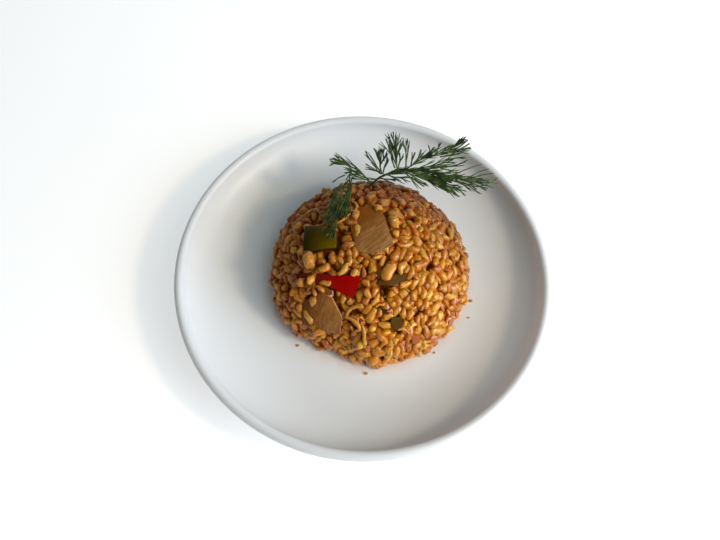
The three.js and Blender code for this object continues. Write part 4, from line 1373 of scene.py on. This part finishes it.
# %% Crumbs on the plate
CRUMBS = [(59.9, -14), (58.2, -24.6), (1.4, -60.6), (38.5, -46.5), (-37.6, -47.4), (57.4, 9.5)]
CRUMB_SHAPE = np.array([1, 0.8, 0.7])
crumb_rng = np.random.default_rng(4)
flat, faces = shapes["bit"]
crumb_corners = []
for x, y in CRUMBS:
    size = crumb_rng.uniform(0.9, 2.1) * CRUMB_SHAPE * crumb_rng.uniform(0.8, 1.2, 3)
    turn = crumb_rng.uniform(0, 6.28)
    spin = np.array(Matrix.Rotation(turn, 3, "Z"))
    corners = flat[:, [2, 0, 1]] * size @ spin.T
    crumb_corners.append(corners + [x, y, -corners[:, 2].min() + 0.08])
crumbs = join_copies("grain_crumbs", np.array(crumb_corners), faces)
crumbs.data.materials.append(husk_finish)
for piece in (husks, crumbs):
    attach(piece, "root")
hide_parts("bulgur")
print("crumbs:", len(CRUMBS))

# %% [markdown]
# ## Dill
#
# A sprig of dill is a thin stem with fronds of long threads that all sweep towards the tip. Curves are
# the natural way: every thread is one spline with a radius at each point, and the curve is then turned
# to a mesh. The threads that can be told apart have their own points, which follow the fronds of the
# CAD model, and shorter ones fork off them by a rule.

# %% Threads of the sprig
STEM = [(6.6, 42.4, 51), (16.4, 43.5, 55), (29.4, 42.7, 58), (41.3, 40.3, 58)]
STEM += [(54.3, 40.8, 55), (68.7, 44.6, 50)]
THREADS = [  # side threads, heights that it runs through evenly, and its points from above
    (9, (57, 71), [(14.9, 42.3), (13.5, 44.9), (12.5, 49.4), (11.6, 52.6), (10.7, 55.7)]),
    (4, (60, 69), [(13.5, 44.6), (11, 47.4), (9.1, 50.3), (7.7, 53.1)]),
    (4, (61, 70), [(13.4, 46.5), (13.6, 49.5), (12.7, 52.4), (12.4, 54.6)]),
    (3, (58, 67), [(13.2, 43.4), (11.2, 46.3), (10.4, 49.3), (10.1, 50.9)]),
    (2, (58, 64), [(14.8, 43.5), (15.5, 46.6), (15.2, 49)]),
    (2, (64, 70), [(12.5, 50.7), (10, 52.2), (9.2, 54.4)]),
    (3, (54, 63), [(6.5, 41.8), (5.1, 44.8), (4.7, 49.2), (3.8, 53.5)]),
    (2, (57, 62), [(5, 47.4), (3.1, 49.4), (1.8, 52.1)]),
    (3, (54, 60), [(6.5, 42.4), (2.9, 45.3), (-0.6, 48.2), (-2.3, 49.3)]),
    (2, (53, 57), [(6, 42.4), (2, 44), (-2.6, 45.5)]),
    (2, (56, 61), [(5.6, 46.9), (7, 49.1), (8.4, 50.7)]),
    (2, (54, 60), [(7, 42.5), (7.8, 45.7), (9.1, 48.2)]),
    (1, (53, 55), [(5.4, 43.7), (0.9, 44), (-2.9, 43.6)]),
    (1, (57, 62), [(7.1, 48.2), (6.3, 51), (5.5, 53)]),
    (3, (58, 66), [(19.1, 43.2), (18.8, 48.4), (18.4, 53), (18, 56.9)]),
    (1, (58, 62), [(21.8, 45.4), (22.1, 49.2), (21.8, 51.6)]),
    (7, (51, 57), [(-0.4, 39.4), (-4.4, 42), (-9, 44.5), (-14, 45.7), (-20.1, 46.8)]),
    (4, (53, 56), [(-7.9, 44.7), (-12.9, 46.2), (-17.9, 46.4), (-21.6, 44.8)]),
    (3, (52, 52), [(-5.6, 43.5), (-10, 43.9), (-13.2, 42.3)]),
    (2, (52, 50), [(-10, 44.5), (-11, 41.9), (-11.3, 37.9)]),
    (1, (51, 50), [(-13.7, 41.6), (-17.4, 39.7), (-19.4, 37.3)]),
    (3, (51, 52), [(-2.1, 40.5), (-6.6, 41.8), (-10.4, 41.9)]),
    (2, (55, 57), [(-14, 46.1), (-18, 47.7), (-21.3, 48.1)]),
    (12, (58, 66), [(19.1, 43.2), (23.3, 45.8), (26.3, 47.7), (30.5, 49), (35.1, 50.3), (39.7, 52.3),
      (43.3, 53.6)]),
    (3, (60, 64), [(22.7, 45.3), (25.1, 47.9), (25.9, 51.1)]),
    (4, (60, 65), [(25.3, 47.5), (28.9, 49.1), (31.3, 50.7), (33.2, 52.2)]),
    (2, (62, 66), [(30.5, 48.4), (31.2, 50.9), (30.4, 53.2)]),
    (1, (63, 68), [(33.5, 49.2), (35.3, 52), (35.5, 54.7)]),
    (6, (65, 70), [(41.8, 52.9), (45.1, 54.5), (48.4, 56.1)]),
    (6, (63, 66), [(40, 51), (44.1, 52.5), (48.3, 53.4), (51.8, 53.6)]),
    (3, (62, 64), [(36.9, 49.5), (42.1, 50.5), (46.8, 51.4)]),
    (2, (69, 70), [(46.5, 54.8), (48, 56.5), (49.5, 55.6)]),
    (8, (58, 62), [(20.2, 42.6), (26.6, 43.7), (32.9, 44.8), (39.2, 46.5), (43.9, 48.1)]),
    (1, (61, 61), [(40.3, 48.5), (45.7, 50.3), (51.7, 50.7)]),
    (2, (59, 60), [(32, 44.1), (39.5, 45.1), (45.9, 46.6), (51.3, 48.8)]),
    (0, (59, 58), [(37.4, 44.5), (42.3, 43.9), (47.3, 44)]),
    (3, (58, 57), [(29.4, 42.7), (36.5, 42.1), (42, 42.8), (46.9, 44)]),
    (1, (56, 56), [(35.7, 40.6), (41.6, 41.7), (46.5, 42.7), (50.3, 43)]),
    (0, (56, 58), [(44.3, 41.9), (48.6, 44.4), (54, 47), (60.4, 49.6)]),
    (12, (58, 52), [(18.1, 41.8), (26.9, 41.4), (35.7, 40.9), (44.6, 41.1), (53.6, 42.6), (61, 44)]),
    (0, (54, 55), [(52.3, 41.9), (56.2, 44.6), (60.6, 47.3), (64.9, 48.8)]),
    (0, (53, 54), [(55.9, 43.5), (61.3, 45.6), (67.9, 47)]),
    (2, (53, 50), [(49.3, 41.7), (57.7, 41.7), (64.5, 42.3), (69.9, 45.3)]),
    (4, (52, 49), [(50.5, 41.2), (57.4, 40.1), (65, 42.3)]),
    (3, (52, 48), [(46.7, 42.2), (53.1, 41.4), (60.2, 41.3)]),
    (12, (57, 49), [(18.2, 41.9), (24.9, 41.2), (31.7, 40.4), (38.6, 38.4), (43.9, 36.8)]),
    (6, (55, 50), [(29.3, 40.8), (36.1, 39.9), (42.9, 38.3), (49.7, 37.9)]),
    (4, (54, 49), [(36, 40.1), (42.8, 39.1), (48, 38), (51, 36.7)]),
    (2, (51, 48), [(43, 38.1), (46.5, 36.7), (49, 34)]),
    (1, (51, 48), [(38.6, 39), (42.7, 37.7), (45.1, 35.6)]),
    (8, (57, 53), [(22.5, 41.6), (29.2, 41), (37, 40.6), (44.9, 40.1)]),
    (3, (54, 50), [(32.7, 39.8), (38.4, 39), (44.2, 36.9)]),
    (5, (56, 50), [(18.3, 42.6), (21.8, 41), (26.4, 39.4), (32.2, 39.2)]),
    (5, (54, 54), [(8.7, 41.9), (13.1, 40.3), (18.5, 40.1), (24, 41.1)]),
    (3, (52, 52), [(4.5, 40.4), (8.9, 40), (14.4, 39.8)]),
    (5, (51.5, 54), [(-9.7, 39.6), (-10.9, 32.7), (-12.6, 24.7), (-14.6, 16.2), (-17.1, 7.9),
      (-18.2, 1.1)]),
    (5, (51, 54.5), [(-11.8, 38.5), (-14.1, 31.3), (-16.2, 23), (-18.2, 15), (-19.7, 7.1)]),
    (5, (51, 54), [(-12.9, 37.1), (-15.7, 30.6), (-18.4, 23.6), (-19.9, 16.3), (-21, 10.3)]),
    (5, (52, 55), [(-10.5, 34.1), (-11.6, 25.7), (-13.2, 18.2), (-15.8, 10.7)]),
    (5, (50.5, 53), [(-14.5, 36.7), (-17.9, 31.4), (-19, 25.1), (-20.1, 18.9)]),
    (5, (52, 55.5), [(-9.5, 35.4), (-10, 27), (-11.7, 19.3), (-13.3, 13)]),
    (2, (54, 54.5), [(-15.4, 20.5), (-17.6, 13.5), (-18, 6.2), (-18.6, 0.2)]),
    (2, (53, 54), [(-16.8, 24.1), (-19.5, 17.4), (-20.9, 9.7)]),
    (2, (54, 55), [(-13, 23.7), (-15.6, 15.3), (-16.6, 8.5), (-17.2, 2.9)]),
    (1, (51.8, 53, 54.5), [(9.5, 42.8), (7.6, 42.3), (6.5, 41.9)]),
    (2, (49.6, 50.4, 51), [(4.4, 41.4), (2, 40.3), (-0.4, 39.4)]),
    (3, (51, 51.4), [(-0.4, 39.4), (-5, 39.6), (-10.2, 39.2)]),
]


def at_share(row, share):
    """The place on a row of points at a share of it, and the way the row runs there."""
    at = min(max(share, 0), 1) * (len(row) - 1)
    i = min(int(at), len(row) - 2)
    return row[i] + (row[i + 1] - row[i]) * (at - i), unit(row[i + 1] - row[i])


# %% Side threads
rng = np.random.default_rng(5)
stem_root = on_core(outer_point(-4.3, 38.1), 1.4)
stem_row = smooth_row([stem_root, *STEM], 60)
strands = [(stem_row[::3], np.linspace(0.72, 0.38, 20))]
THREAD_SIZE, SIDE_SIZE, TWIG_SIZE = 0.42, 0.34, 0.3
FORK_TAPER = np.array([1.0, 1.0, 0.95, 0.8, 0.4])
STEM_FORKS = (  # how many fork off the stem, the first one's share, the step, the reach, and the size
    (34, 0.28, 0.02, (5, 12), 0.32),
    (70, 0.2, 0.006, (3, 8), 0.3),
)


def fork(row, share, hand, reach, thick):
    """A thread that leaves a row of points to one side and bends back to run nearly along it."""
    start, run = at_share(row, share)
    side = unit(np.cross([0, 0, 1.0], run))
    roll = rng.uniform(-0.8, 0.8)
    side = hand * (side * math.cos(roll) + np.cross(run, side) * math.sin(roll))
    angle = rng.uniform(0.18, 0.42)
    t = np.linspace(0, 1, 5)[:, None]
    way = run * math.cos(angle) + side * math.sin(angle)
    curve = start + reach * (way * t - side * t**2 * rng.uniform(0.0, 0.4) * math.sin(angle))
    strands.append((curve, thick * FORK_TAPER))
    return curve


for forks, heights, flat in THREADS:
    share = np.linspace(0, 1, len(flat))
    rise = np.interp(share, np.linspace(0, 1, len(heights)), heights).round(1)
    row = smooth_row(np.column_stack([flat, rise]), 4 * len(flat) - 3)
    run = np.linalg.norm(np.diff(row, axis=0), axis=1).sum()
    strands.append((row, THREAD_SIZE * (1 - 0.5 * np.linspace(0, 1, len(row)) ** 2)))
    for k in range(forks):
        share = 0.08 + 0.85 * (k + rng.uniform(0.2, 0.8)) / forks
        reach = min(12.0, run * (1.02 - share)) * rng.uniform(0.7, 1.0) + 1.0
        side_row = fork(row, share, 1 if k % 2 else -1, reach, SIDE_SIZE)
        fork(side_row, rng.uniform(0.2, 0.5), rng.choice([-1, 1]), reach * 0.55, TWIG_SIZE)
for many, first, step, reach, size in STEM_FORKS:
    for k in range(many):
        fork(stem_row, first + step * k, 1 if k % 2 else -1, rng.uniform(*reach), size)
print("dill has", len(strands), "strands from", len(THREADS), "threads")

# %% Sprig mesh
lowest, highest = (np.array(v) / MM for v in cad_box)
inside_box = [(np.clip(row, lowest + 0.5, highest + [0, 0, 1.0]), radii) for row, radii in strands]
sprig = tubes("dill_sprig", inside_box)

leafy = Finish("dill_leaf")
patches = leafy.noise(260.0, 2.0)
leaf_finish = leafy.surface(
    leafy.mix(leafy.step(patches, 0.35, 0.7), rgb(22, 44, 6), rgb(74, 98, 34)),
    0.42 + patches * 0.15,
    leafy.bump(leafy.noise(1500.0, 1.0), 0.0002, 0.4),
    soft=(0.1, (1.0, 0.2, 0.1), 0.0005),
    glint=(0.3,),
)
sprig.data.materials.append(leaf_finish)
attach(sprig, "root")
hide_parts("dill")
print("dill:", len(sprig.data.polygons), "faces")
